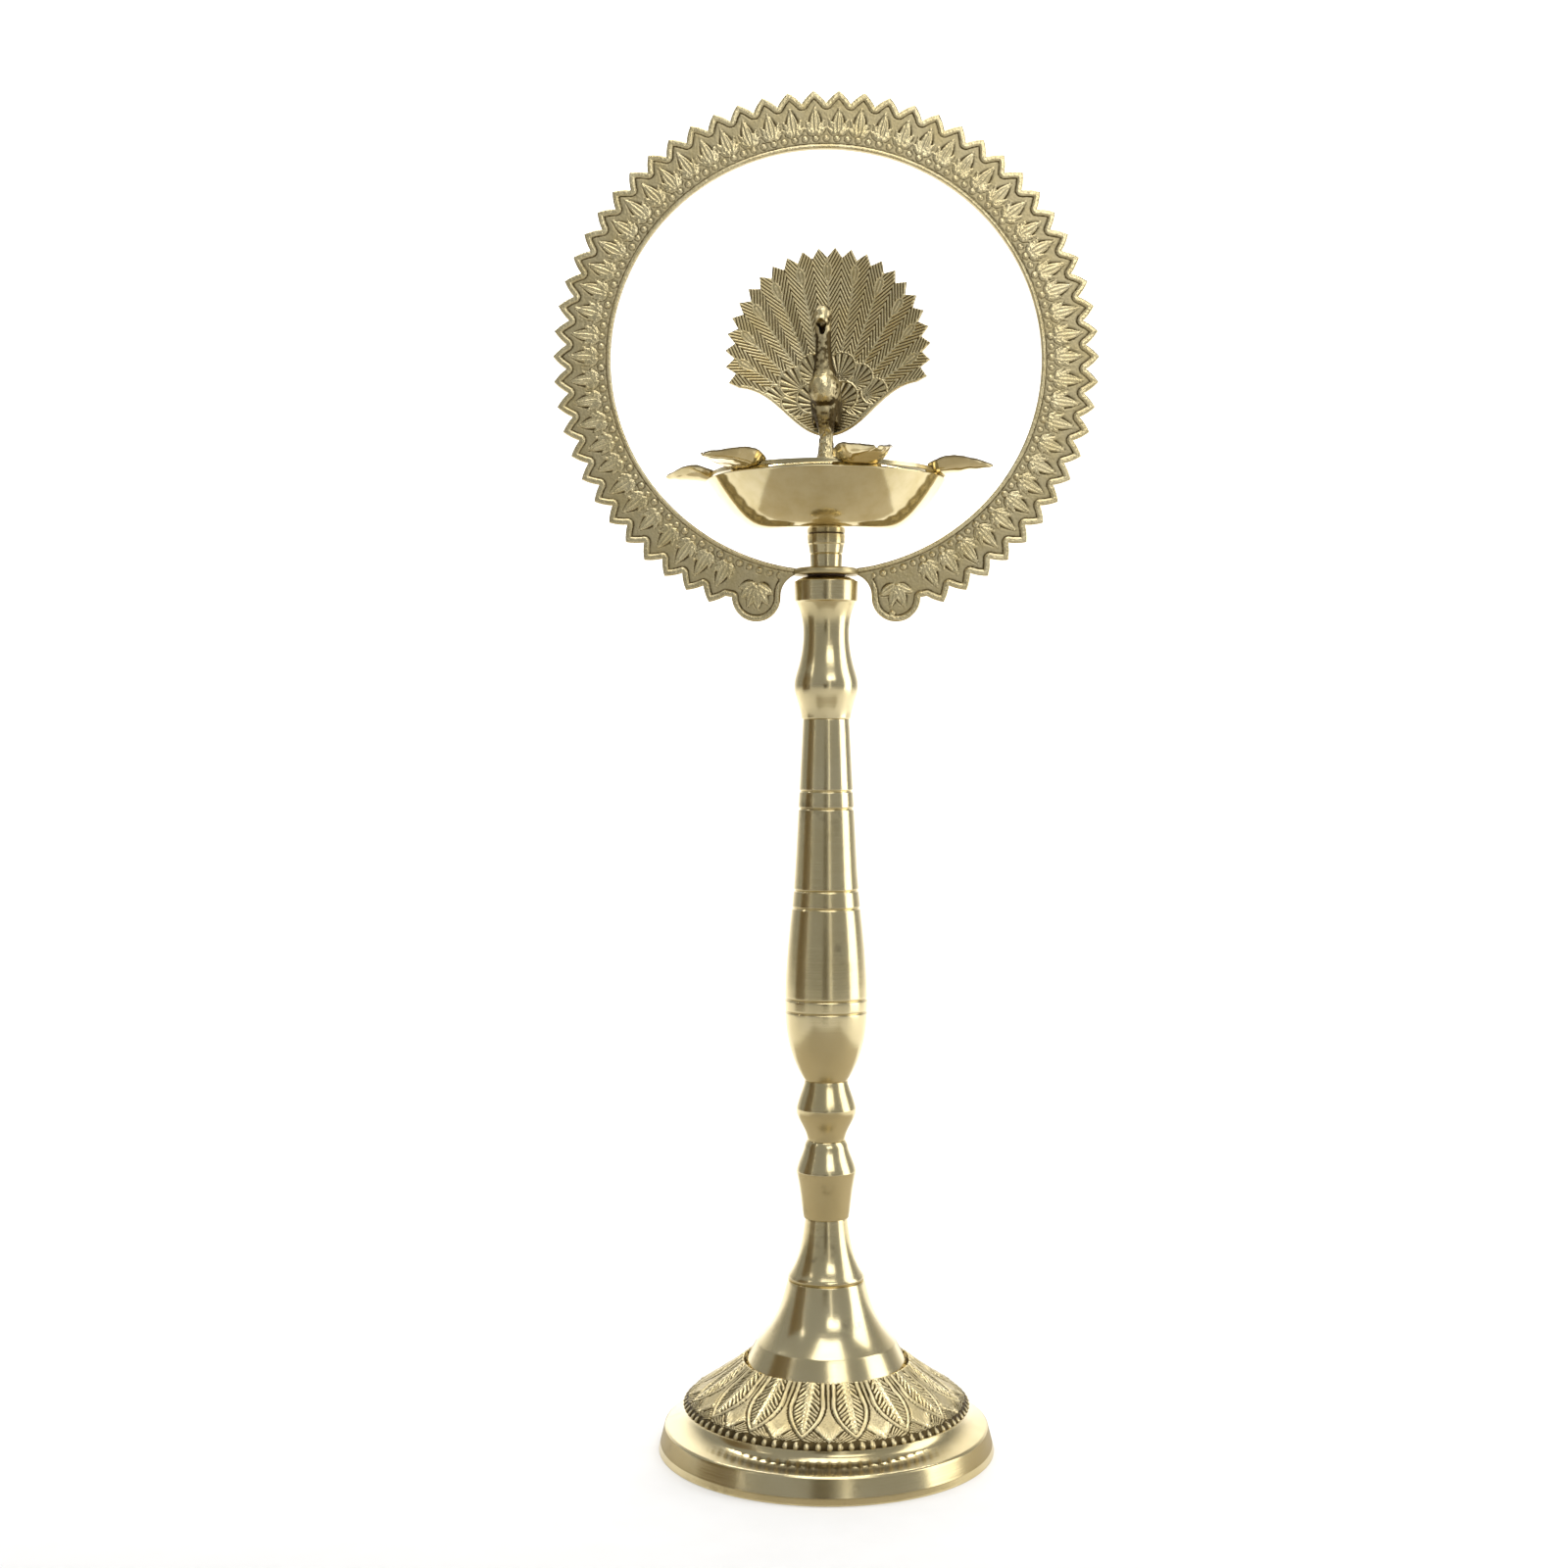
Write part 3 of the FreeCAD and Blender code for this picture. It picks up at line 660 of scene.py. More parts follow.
def halo(material):
    def on_front(points):
        return points, np.abs(points[:, 1] + HALO_THICKNESS / 2) < 0.01

    edge = face_outlines("halo", on_front)[0]
    inside_boss = (np.abs(edge[:, 0]) < BOSS_R) & (edge[:, 1] < BOSS_TOP_Z + 1)
    edge[:, 0] = np.where(inside_boss, np.sign(edge[:, 0]) * (BOSS_R - 0.8), edge[:, 0])
    edge = smooth_outline(edge, 0.5)
    outlines = [edge]
    hole_share = np.hypot(*((edge - HALO_CENTRE) / HALO_HOLE).T)
    outer_edge = edge[hole_share > 1.03]

    def front(flat):
        height = halo_height(flat, outer_edge)
        depth = edge_drop(flat, outlines) - HALO_THICKNESS / 2 - height
        return np.column_stack((flat[:, 0], depth, flat[:, 1])), to_relief(height)

    def back(flat):
        depth = HALO_THICKNESS / 2 + sand(len(flat), SEED + 1, 0.04) - edge_drop(flat, outlines)
        return np.column_stack((flat[:, 0], depth, flat[:, 1])), np.full(len(flat), BACK_RELIEF)

    plate = cast_sheet("v_halo", outlines, 0.48, 2.2, front, back)
    boss = np.array([
        (BOSS_HOLE_R, BOSS_BOTTOM_Z), (BOSS_R - 0.4, BOSS_BOTTOM_Z), (BOSS_R, BOSS_BOTTOM_Z + 0.4),
        (BOSS_R, BOSS_TOP_Z - 0.5), (BOSS_R - 0.5, BOSS_TOP_Z), (BOSS_HOLE_R, BOSS_TOP_Z)])
    points, faces = spun(boss, True)
    halo_ring = combined(plate, relief_object("boss", points, [faces], BOSS_RELIEF), "UNION")
    return finish_piece(halo_ring, "halo_ring", "cast_brass", material, "halo")


# ---------------------------------------------------------------- lotus skirt

def groove(offset, half_width):
    """1 in the middle of a groove, 0 from half_width away."""
    return smooth_step(np.abs(offset), half_width, 0.25 * half_width)


def strokes(phase, sharpness):
    """Chisel strokes: 1 on a ridge, 0 in the cut after it, once per unit of phase."""
    return (0.5 + 0.5 * np.cos(2 * math.pi * phase)) ** sharpness


def skirt_height(radius, angle):
    """Height of the carved lotus leaves above the skirt's slope; angle 0 is +X."""
    rng = np.random.default_rng(SEED + 2)
    grown = (radius - SKIRT_TOP_R) / (SKIRT_EDGE_R - SKIRT_TOP_R)
    along = grown * SKIRT_SLOPE
    turn = angle / SKIRT_PITCH
    leaf_number = np.floor(turn)
    from_spine = np.abs(turn - leaf_number - 0.5) * SKIRT_PITCH * radius
    from_seam = np.abs(turn - np.round(turn)) * SKIRT_PITCH * radius
    seat = SKIRT_PITCH / 2 * radius - 1.1
    taper = np.clip((grown - LEAF_SHOULDER) / (LEAF_TIP - LEAF_SHOULDER), 0, 1)
    inside = seat * (1 - taper ** 1.7) - from_spine
    slip = rng.uniform(-0.3, 0.3, 17)[leaf_number.astype(int)]
    wave = 0.35 * np.sin(0.9 * along + 5 * slip)

    ribs = strokes((along - 0.95 * from_spine + wave) / RIB_PITCH + slip, 0.8)
    past_spine = smooth_step(from_spine, 0.6, 2.6 - 1.6 * grown)
    leaf_face = 0.7 * (1 - past_spine) + past_spine * (0.9 * ribs - 0.2)
    main = np.where(inside > 2.3, leaf_face, 0) * smooth_step(inside, 2.3, 2.9)
    main += 0.5 * plateau(inside, 0.2, 0.5, 2.1, 2.5)

    second = (0.985 - grown) * SKIRT_SLOPE * 0.95 - from_seam
    fan = strokes(np.arctan2(from_seam, 33.0 - along) * 7.5 + 0.25 * slip, 0.8)
    lower = np.where(second > 0.3, 0.30 + 0.40 * fan * smooth_step(second, 6.0, 2.0), 0.5 * fan - 0.05)
    lower = lower - 0.6 * groove(second, 0.55)
    carved = np.where(inside > 0, main, lower)
    carved = carved - 0.75 * groove(inside, 0.5) - 0.5 * groove(inside - LEAF_BAND, 0.45)
    carved = carved + rng.normal(0, SAND, carved.shape)
    return carved * smooth_step(grown, 1.0, 0.95)


def nub_height(radius, height, angle):
    """Row of upright pills along the skirt's lip."""
    rng = np.random.default_rng(SEED + 3)
    number = np.round(angle / (2 * math.pi) * NUB_COUNT)
    slips = rng.uniform(-1, 1, (NUB_COUNT + 1, 2))[number.astype(int)]
    across = (angle - number / NUB_COUNT * 2 * math.pi) * radius + 0.25 * slips[..., 0]
    share = np.hypot(across / NUB_HALF_WIDTH, (height - NUB_Z) / (NUB_HALF_HEIGHT + 0.2 * slips[..., 1]))
    gap = smooth_step(np.abs(across), 1.5, 2.1) * (radius > NUB_FLOOR_R)
    return 0.8 * np.sqrt(np.clip(1 - share ** 2, 0, 1)) - 0.2 * gap


def lotus_skirt(material):
    outline, closed = fine_section("lotus_skirt", 0.48)
    sloping = outline[:, 1] > 37.5 - 0.78 * (outline[:, 0] - SKIRT_TOP_R)
    keep = sloping | (np.arange(len(outline)) % 5 == 0)
    outline = outline[keep]
    sloping = sloping[keep, None]

    def carving(radius, height, angle):
        return (np.where(sloping, skirt_height(radius, angle), 0),
                np.where(sloping, nub_height(radius, height, angle), 0))

    def reshape(radius, height, angle):
        carved, nubs = carving(radius, height, angle)
        return radius + 0.58 * carved + nubs, height + 0.81 * carved

    points, faces = spun(outline, closed, SKIRT_SEGMENTS, reshape)
    angle = np.arange(SKIRT_SEGMENTS) * (2 * math.pi / SKIRT_SEGMENTS) + 0 * outline[:, :1]
    carved, nubs = carving(outline[:, :1] + 0 * angle, outline[:, 1:] + 0 * angle, angle)
    relief = to_relief(SKIRT_RELIEF_STRETCH * carved + nubs - SKIRT_RELIEF_DROP).ravel()
    skirt = relief_object("v_lotus_skirt", points, [faces], relief)
    return finish_piece(skirt, "stand", "cast_brass", material, "lotus_skirt")


# ---------------------------------------------------------------- peacock

def about_axis(points, degrees):
    """Points turned about the lamp's axis."""
    turn = math.radians(degrees)
    cosine, sine = math.cos(turn), math.sin(turn)
    x, y, z = points.T
    return np.column_stack((x * cosine - y * sine, x * sine + y * cosine, z))


def on_dish(flat, radius):
    """Points at a radius from the centre of the tail's dish that lie at the given (x, z) places."""
    right = flat[:, 0]
    up = flat[:, 1] - TAIL_CENTRE_Z
    depth = np.sqrt(TAIL_DISH_R ** 2 - right ** 2 - up ** 2)
    outward = np.column_stack((right, depth, up)) / TAIL_DISH_R
    centre = (0, TAIL_FRONT_Y - TAIL_DISH_R, TAIL_CENTRE_Z)
    return about_axis(centre + outward * np.reshape(radius, (-1, 1)), FINIAL_TURN_DEG)


def feather_relief(flat):
    """Barbs, spines and eyes of the tail feathers, which fan out from one foot."""
    right = flat[:, 0]
    up = flat[:, 1] - FEATHER_FOOT_Z
    angle = np.arctan2(right, up)
    out = np.hypot(right, up)
    corner = np.radians(np.linspace(-TAIL_CORNER_DEG, TAIL_CORNER_DEG, TAIL_TEETH + 1))
    valley_right = TAIL_VALLEY_R * np.sin(corner)
    valley_up = TAIL_CENTRE_Z - FEATHER_FOOT_Z + TAIL_VALLEY_R * np.cos(corner)
    valley_angle = np.arctan2(valley_right, valley_up)
    number = np.interp(angle, valley_angle, np.arange(TAIL_TEETH + 1))
    spine = 2 * np.round(number / 2)
    middle = np.interp(spine, np.arange(TAIL_TEETH + 1), valley_angle)
    from_spine = np.abs(np.sin(angle - middle)) * out
    along = np.cos(angle - middle) * out
    slip = np.random.default_rng(SEED + 4).uniform(-0.2, 0.2, 2 * TAIL_TEETH + 4)
    side = (spine + (angle > middle)).astype(int)
    phase = (along - from_spine / math.tan(math.radians(BARB_LEAN_DEG))) / BARB_STEP + slip[side]
    height = BARB_HEIGHT * strokes(phase, 0.9)
    height = np.maximum(height, SPINE_HEIGHT * smooth_step(from_spine, 0.55, 0.25))
    height -= 0.10 * smooth_step(np.abs(number - spine), 0.94, 1.0)
    rim = np.interp(spine, np.arange(TAIL_TEETH + 1), np.hypot(valley_right, valley_up))
    down = (rim - 2.2 - along) / EYE_LENGTH
    width = EYE_WIDTH * 2.6 * np.sqrt(np.clip(down, 0, 1)) * (1 - np.clip(down, 0, 1))
    within = (down > 0) & (down < 1)
    ring = smooth_step(np.abs(from_spine - width), 0.42, 0.15) * within
    hollow = within & (from_spine < width)
    pupil = smooth_step(from_spine, 0.5, 0.2) * plateau(down, 0.12, 0.2, 0.6, 0.75)
    return np.where(hollow, 0.18 + 0.35 * pupil, height) * (1 - ring) + EYE_HEIGHT * ring


def scale_relief(flat, height):
    """Overlapping round scales with rays, on both sides of the bird."""
    for x, z, radius in RAY_SCALES:
        right = flat[:, 0] - x
        up = flat[:, 1] - z
        distance = np.hypot(right, up)
        foot = -0.75 * radius * np.array((x, z - SCALE_FOOT_Z)) / np.hypot(x, z - SCALE_FOOT_Z)
        rays = strokes(np.arctan2(right - foot[0], up - foot[1]) * 3.3, 0.7)
        inner = smooth_step(distance, radius - 0.3, radius - 0.7)
        ring = smooth_step(np.abs(distance - radius), 0.55, 0.2)
        height = np.where(distance < radius, 0.42 * rays * inner, height) * (1 - ring) + 0.55 * ring
    return height


def peacock_tail(material):
    def on_front(points):
        points = about_axis(points, -FINIAL_TURN_DEG)
        distance = np.linalg.norm(points - (0, TAIL_FRONT_Y - TAIL_DISH_R, TAIL_CENTRE_Z), axis=1)
        return points, np.abs(distance - TAIL_DISH_R) < 0.02

    outlines = [smooth_outline(outline, 0.3) for outline in face_outlines("peacock_tail", on_front)]
    edge = outlines[0]
    from_top = np.degrees(np.arctan2(np.abs(edge[:, 0]), edge[:, 1] - TAIL_CENTRE_Z))
    lower_edge = edge[from_top > TAIL_CORNER_DEG + 0.5]

    def front(flat):
        height = scale_relief(flat, feather_relief(flat))
        border = smooth_step(np.abs(reach_inside(flat, [lower_edge])), 1.3, 0.9)
        height = height * (1 - border) + BORDER_HEIGHT * border + sand(len(flat), SEED + 5, 0.018)
        radius = TAIL_DISH_R - height + edge_drop(flat, outlines)
        return on_dish(flat, radius), to_relief(TAIL_RELIEF_STRETCH * height - TAIL_RELIEF_DROP)

    def back(flat):
        radius = TAIL_DISH_R + TAIL_THICKNESS + sand(len(flat), SEED + 6, 0.03) - edge_drop(flat, outlines)
        return on_dish(flat, radius), np.full(len(flat), BACK_RELIEF)

    fan = cast_sheet("v_peacock_tail", outlines, 0.285, 1.3, front, back)
    return finish_piece(fan, "peacock", "cast_brass", material, "peacock_tail")


def ball(form, centre, radii, lean_deg=0.0):
    """Add a stretched ball to a form that is made in millimetres; it leans towards -Y."""
    place = (Matrix.Translation(centre) @ Matrix.Rotation(math.radians(lean_deg), 4, "X")
             @ Matrix.Diagonal((*radii, 1)))
    bmesh.ops.create_icosphere(form, subdivisions=4, radius=1, matrix=place)


def limb(form, path, step=0.5):
    """Add a run of balls along a path of (x, y, z, radius) points."""
    for x, y, z, radius in smooth_run(np.array(path), step):
        ball(form, (x, y, z), (radius, radius, radius))


def remeshed(piece, voxel, smoothing):
    """One closed skin round everything in a piece, smoothed a little; sizes in millimetres."""
    skin = piece.modifiers.new("skin", "REMESH")
    skin.mode = "VOXEL"
    skin.voxel_size = voxel * MM
    skin.use_smooth_shade = True
    soften = piece.modifiers.new("soften", "SMOOTH")
    soften.iterations = smoothing
    return applied(piece)


def peacock_body(material):
    form = bmesh.new()
    limb(form, [(0, -4.5, 479.5, 5.6), (0, -6.3, 486, 4.2), (0, -7.2, 494, 3.5), (0, -8.0, 505, 3.7)])
    limb(form, [(0, -3.0, 466, 5.6), (0, -1.6, 461, 4.3), (0, -0.4, 456, 3.2), (0, 0, 447, 3.1)])
    ball(form, (0, -3.8, 474.5), (7.3, 9.0, 9.0), 8)
    ball(form, (0, -8.8, 507.6), (4.3, 4.9, 4.3), 10)
    ball(form, (0, -11.0, 504.8), (3.4, 4.4, 3.0), 35)
    for side in (-1, 1):
        ball(form, (side * 4.4, 0.5, 470.0), (2.6, 7.5, 8.0), -14)
        ball(form, (side * 5.2, 2.5, 467.2), (1.5, 5.0, 8.6), -20)
        ball(form, (side * 3.4, -9.6, 509.2), (0.9, 0.9, 0.9))
    back_pad = Matrix.Translation((0, 2.3, 475)) @ Matrix.Diagonal((7, 10.6, 20, 1))
    bmesh.ops.create_cube(form, size=1, matrix=back_pad)
    foot_points, foot_faces = spun(np.array([
        (0, 438.0), (9.9, 438.0), (10.2, 438.3), (10.2, 439.3), (8.8, 439.9), (6.4, 441.4), (4.6, 444.0),
        (3.6, 447.5), (3.2, 452.0), (3.0, 456.0), (0, 456.0)]), False, 96)
    foot = [form.verts.new(point) for point in foot_points]
    for corners in foot_faces.tolist():
        form.faces.new([foot[index] for index in corners])
    bmesh.ops.remove_doubles(form, verts=foot, dist=1e-4)
    bmesh.ops.scale(form, vec=(MM, MM, MM), verts=form.verts)
    mesh = bpy.data.meshes.new("v_peacock_body")
    form.to_mesh(mesh)
    form.free()
    bird = remeshed(object_from("v_peacock_body", mesh), 0.32, 4)
    points = np.array([vert.co for vert in bird.data.vertices]) / MM
    x, y, z = points.T
    rough = np.array([noise.fractal(Vector(point) * 0.55, 0.9, 2.1, 4) for point in points.tolist()])
    coarse = 0.12 + 0.26 * plateau(z, 441, 447, 458, 466)
    normals = np.array([vert.normal for vert in bird.data.vertices])
    mouth = smooth_step(np.hypot(x / 2.7, np.hypot(y + 14.2, z - 500.8) / 4.2), 1.0, 0.75)
    points += normals * (coarse * rough)[:, None]
    points[:, 1] += 4.2 * mouth
    set_points(bird.data, about_axis(points, FINIAL_TURN_DEG))
    # Painted highlight: the surfaces that face the front (-Y) are made brighter and the sides stay darker.
    front_painted_highlight = smooth_step(-normals[:, 1], 0.45, 0.95)
    # Colour value of the bird, stored as its relief: a random mottle plus painted highlight and painted
    # shade.
    mottle_and_painted_light = 0.10 + 0.25 * smooth_step(rough, -0.5, 0.4) + 0.55 * front_painted_highlight
    # Painted shade: the mouth, the neck between chest and head, and the part under the chest are made darker.
    mottle_and_painted_light -= 0.6 * mouth + 0.50 * plateau(z, 480, 484, 496, 502)
    mottle_and_painted_light -= 0.45 * plateau(z, 455, 460, 467, 471)
    set_relief(bird.data, np.clip(mottle_and_painted_light, 0, 1))
    screw = [(0, SCREW_LOW_Z), (2.6, SCREW_LOW_Z)]
    screw += [(SCREW_R, 430.0 + SCREW_STEP * k) for k in range(67)]
    screw += [(2.6, SCREW_HIGH_Z), (0, SCREW_HIGH_Z)]
    cut = thread(SCREW_LOW_Z + 0.1, SCREW_HIGH_Z - 0.5, SCREW_R, depth=0.4)
    points, faces = spun(np.array(screw), False, 64, cut)
    bird = combined(bird, relief_object("spigot", points, [faces], BACK_RELIEF), "UNION")
    return finish_piece(bird, "peacock", "cast_brass", material, "peacock_body")


# ---------------------------------------------------------------- oil bowl

def trough_curve(half_width, edge_z, bottom_z):
    """Across a spout from its left edge, down and up to its right edge, as (y, z) points."""
    bend_y = 0.72 * half_width
    bend_z = bottom_z + 0.28 * (edge_z - bottom_z)
    run = np.array([
        (-half_width, edge_z), (-bend_y, bend_z), (0, bottom_z), (bend_y, bend_z), (half_width, edge_z)])
    return smooth_run(run, np.linalg.norm(np.diff(run, axis=0), axis=1).sum() / SPOUT_STEPS)


def lofted(rings, heading_deg):
    """Points and faces of a closed skin through rings of points, turned to its heading."""
    count = len(rings[0])
    total = len(rings) * count
    faces = [grid_faces(len(rings), count, wrap_rows=False), [range(count)], [range(total - count, total)]]
    return about_axis(np.vstack(rings), heading_deg), faces


def along_spout(first_distance):
    """Evenly spaced sections of a spout from its wide start to its tip."""
    start = (first_distance,) + SPOUT_SECTIONS[0][1:]
    run = np.array([start] + [section for section in SPOUT_SECTIONS if section[0] > first_distance])
    return smooth_run(run, 1.1)


def spout_wall(heading_deg, number):
    """Open spout with thick, filed edges."""
    rings = []
    for distance, half_width, edge_z, bottom_z in along_spout(SPOUT_SECTIONS[0][0]):
        closing = smooth_step(distance, TROUGH_END_R, TROUGH_END_R + 2)
        wall = min(SPOUT_WALL, 0.7 * half_width)
        inner_bottom = bottom_z + wall + (edge_z - 0.7 - bottom_z - wall) * closing
        outside = trough_curve(half_width, edge_z, bottom_z)
        inside = trough_curve(half_width - wall, edge_z, inner_bottom)[::-1]
        crest = np.array([(0.25, 0.45), (0.5, 0.6), (0.75, 0.45)]) * (1, 0.5 * wall)
        right = np.column_stack((half_width - wall * crest[:, 0], edge_z + crest[:, 1]))
        left = right[::-1] * (-1, 1)
        section = np.vstack((outside, right, inside, left))
        rings.append(np.column_stack((np.full(len(section), distance), section)))
    noise.seed_set(SEED)
    for ring in rings:
        for point in ring:
            spot = Vector(point) * 0.22 + Vector((9.7 * number, 0, 0))
            point += np.array(noise.noise_vector(spot)) * (0.25, 0.35, 0.35)
            if point[2] > 438.5:
                point += np.array(noise.noise_vector(spot * 5)) * (0.1, 0.16, 0.2)
    points, faces = lofted(rings, heading_deg)
    section_relief = np.full(len(section), SPOUT_RELIEF)
    section_relief[len(outside) - 1:len(outside) + 3] = EDGE_RELIEF
    section_relief[-4:] = EDGE_RELIEF
    section_relief[0] = EDGE_RELIEF
    return relief_object("spout", points, faces, np.tile(section_relief, len(rings)))


def trough_space(heading_deg):
    """Space that joins a spout's trough to the bowl."""
    rings = []
    for distance, half_width, edge_z, bottom_z in along_spout(TROUGH_START_R):
        if distance < TROUGH_END_R:
            inside = trough_curve(half_width - SPOUT_WALL, edge_z, bottom_z + SPOUT_WALL)
            top_z = edge_z + TROUGH_CLEARANCE
            top = np.array([(half_width - SPOUT_WALL, top_z), (SPOUT_WALL - half_width, top_z)])
            section = np.vstack((inside, top))
            rings.append(np.column_stack((np.full(len(section), distance), section)))
    points, faces = lofted(rings, heading_deg)
    return relief_object("trough", points, faces, TROUGH_RELIEF)


def oil_bowl(material):
    outline, closed = fine_section("oil_bowl", 1.1)
    points, faces = spun(outline, closed, 256)
    radius = np.hypot(points[:, 0], points[:, 1])
    outside = smooth_step(radius - np.interp(points[:, 2], BOWL_MIDDLE_Z, BOWL_MIDDLE_R), -0.3, 0.3)
    polished = np.where(points[:, 2] > BOWL_BEVEL_Z, 0, outside)
    bowl = relief_object("v_oil_bowl", points, [faces], RIM_RELIEF + (1 - RIM_RELIEF) * polished)
    space_points, space_faces = spun(np.array(BOWL_INSIDE), False, 256)
    headings = [SPOUT_FIRST_DEG + number * 360 / SPOUT_COUNT for number in range(SPOUT_COUNT)]
    for heading_deg in headings:
        bowl = combined(bowl, trough_space(heading_deg), "DIFFERENCE")
    for number, heading_deg in enumerate(headings):
        space = relief_object("inside", space_points, [space_faces], TROUGH_RELIEF)
        wall = combined(spout_wall(heading_deg, number), space, "DIFFERENCE")
        bowl = combined(bowl, wall, "UNION")
    bowl.data.shade_smooth()
    bowl.data.set_sharp_from_angle(angle=math.radians(32))
    return finish_piece(bowl, "bowl", "turned_brass", material, "oil_bowl")


# ---------------------------------------------------------------- materials

class Nodes:
    """Short way to build a node material."""

    def __init__(self, name):
        self.material = bpy.data.materials.new(name)
        self.material.use_nodes = True
        self.tree = self.material.node_tree
        self.shader = self.tree.nodes["Principled BSDF"]

    def add(self, kind, inputs=None, **settings):
        node = self.tree.nodes.new("ShaderNode" + kind)
        for key, value in settings.items():
            setattr(node, key, value)
        for key, value in (inputs or {}).items():
            self.set(node.inputs[key], value)
        return node

    def set(self, socket, value):
        if isinstance(value, bpy.types.NodeSocket):
            self.tree.links.new(value, socket)
        else:
            socket.default_value = value

    def math(self, operation, *values):
        node = self.add("Math", operation=operation)
        for socket, value in zip(node.inputs, values):
            self.set(socket, value)
        return node.outputs[0]

    def noise(self, vector, scale, detail=3.0, roughness=0.55):
        inputs = {"Vector": vector, "Scale": scale, "Detail": detail, "Roughness": roughness}
        return self.add("TexNoise", inputs).outputs["Fac"]

    def ramp(self, value, *stops):
        """Colour ramp; a stop is (position, grey or colour)."""
        node = self.add("ValToRGB", {"Fac": value})
        elements = node.color_ramp.elements
        while len(elements) < len(stops):
            elements.new(0.5)
        for element, (position, colour) in zip(elements, stops):
            element.position = position
            element.color = (*colour, 1) if isinstance(colour, tuple) else (colour, colour, colour, 1)
        return node.outputs["Color"]

    def mix(self, factor, first, second, blend="MIX"):
        node = self.add("Mix", data_type="RGBA", blend_type=blend)
        for key, value in (("Factor_Float", factor), ("A_Color", first), ("B_Color", second)):
            socket = next(s for s in node.inputs if s.identifier == key)
            self.set(socket, (*value, 1) if isinstance(value, tuple) else value)
        return next(s for s in node.outputs if s.identifier == "Result_Color")

    def bump(self, height, distance, strength=1.0, normal=None):
        node = self.add("Bump", {"Height": height, "Distance": distance, "Strength": strength})
        if normal:
            self.set(node.inputs["Normal"], normal)
        return node.outputs["Normal"]

    def surface(self, colour, rough, normal=None, metallic=0.0):
        """Finish the material."""
        self.set(self.shader.inputs["Base Color"], colour)
        self.set(self.shader.inputs["Roughness"], rough)
        if normal:
            self.set(self.shader.inputs["Normal"], normal)
        self.set(self.shader.inputs["Metallic"], metallic)
        return self.material

    def place(self):
        """Position on the piece, which rides with it."""
        return self.add("TexCoord").outputs["Object"]

    def ring_coordinate(self):
        """Radius and height as a vector that is the same all the way round the axis."""
        split = self.add("SeparateXYZ", {"Vector": self.place()})
        across = self.math("MULTIPLY", split.outputs["X"], split.outputs["X"])
        along = self.math("MULTIPLY", split.outputs["Y"], split.outputs["Y"])
        radius = self.math("SQRT", self.math("ADD", across, along))
        return self.add("CombineXYZ", {"X": radius, "Z": split.outputs["Z"]}).outputs["Vector"]


BRASS = (0.72, 0.615, 0.365)
BRASS_WARM = (0.60, 0.49, 0.25)
BRASS_TARNISH = (0.085, 0.060, 0.024)


def polished_brass():
    """Turned brass: mirror-like with fine rings, faint waves, smudges and a few pits."""
    make = Nodes("polished_brass")
    place = make.place()
    rings = make.ring_coordinate()
    smudge = make.noise(place, 22.0, 4.0)
    fine_rings = make.noise(rings, 2600.0, 2.0)
    broad_rings = make.noise(rings, 420.0, 2.0)
    stain = make.noise(place, 55.0, 5.0, 0.65)
    colour = make.mix(make.ramp(smudge, (0.35, 0.0), (0.75, 1.0)), BRASS, BRASS_WARM)
    colour = make.mix(make.ramp(stain, (0.60, 0.0), (0.80, 0.6)), colour, BRASS_TARNISH)
    rough = make.math("MULTIPLY_ADD", smudge, 0.12, 0.10)
    rough = make.math("MULTIPLY_ADD", fine_rings, 0.08, rough)
    normal = make.bump(make.noise(place, 38.0, 2.0), 0.0006, 0.35)
    normal = make.bump(broad_rings, 0.00010, 0.35, normal)
    normal = make.bump(fine_rings, 0.00002, 0.4, normal)
    return make.surface(colour, rough, normal, metallic=1.0)


def cast_brass(name, grain, polish):
    """Sand-cast brass, dark in the hollows and rubbed bright on the high parts; polish goes from 0 to 1. On
    the peacock's body the stored value also brings painted highlight and painted shade.
    """
    make = Nodes(name)
    place = make.place()
    mottle = make.noise(place, 90.0, 4.0, 0.6)
    grit = make.noise(place, 1500.0, 3.0, 0.6)
    colour = make.mix(make.ramp(mottle, (0.35, 0.0), (0.7, 1.0)), BRASS, BRASS_WARM)
    height = make.add("Attribute", attribute_name="relief").outputs["Fac"]
    wear_and_painted_light = make.math("MULTIPLY_ADD", mottle, 0.30, height)
    colour = make.mix(make.ramp(wear_and_painted_light, (0.28, 1.0), (0.46, 0.36), (0.80, 0.0)), colour, BRASS_TARNISH)
    rough = make.math("MULTIPLY_ADD", grit, 0.22 * (1 - polish), 0.16 * (1 - 0.6 * polish))
    rough = make.math("MULTIPLY_ADD", make.ramp(wear_and_painted_light, (0.3, 1.0), (0.95, 0.0)), 0.22, rough)
    return make.surface(colour, rough, make.bump(grit, grain, 0.6), metallic=1.0)


def zinc_steel():
    """Plated steel of the clamp under the foot."""
    make = Nodes("zinc_steel")
    place = make.place()
    mottle = make.noise(place, 160.0, 4.0)
    scratches = make.noise(place, 900.0, 2.0)
    colour = make.mix(mottle, (0.42, 0.43, 0.45), (0.58, 0.57, 0.54))
    rough = make.math("MULTIPLY_ADD", mottle, 0.25, 0.25)
    return make.surface(colour, rough, make.bump(scratches, 0.00004, 0.5), metallic=1.0)


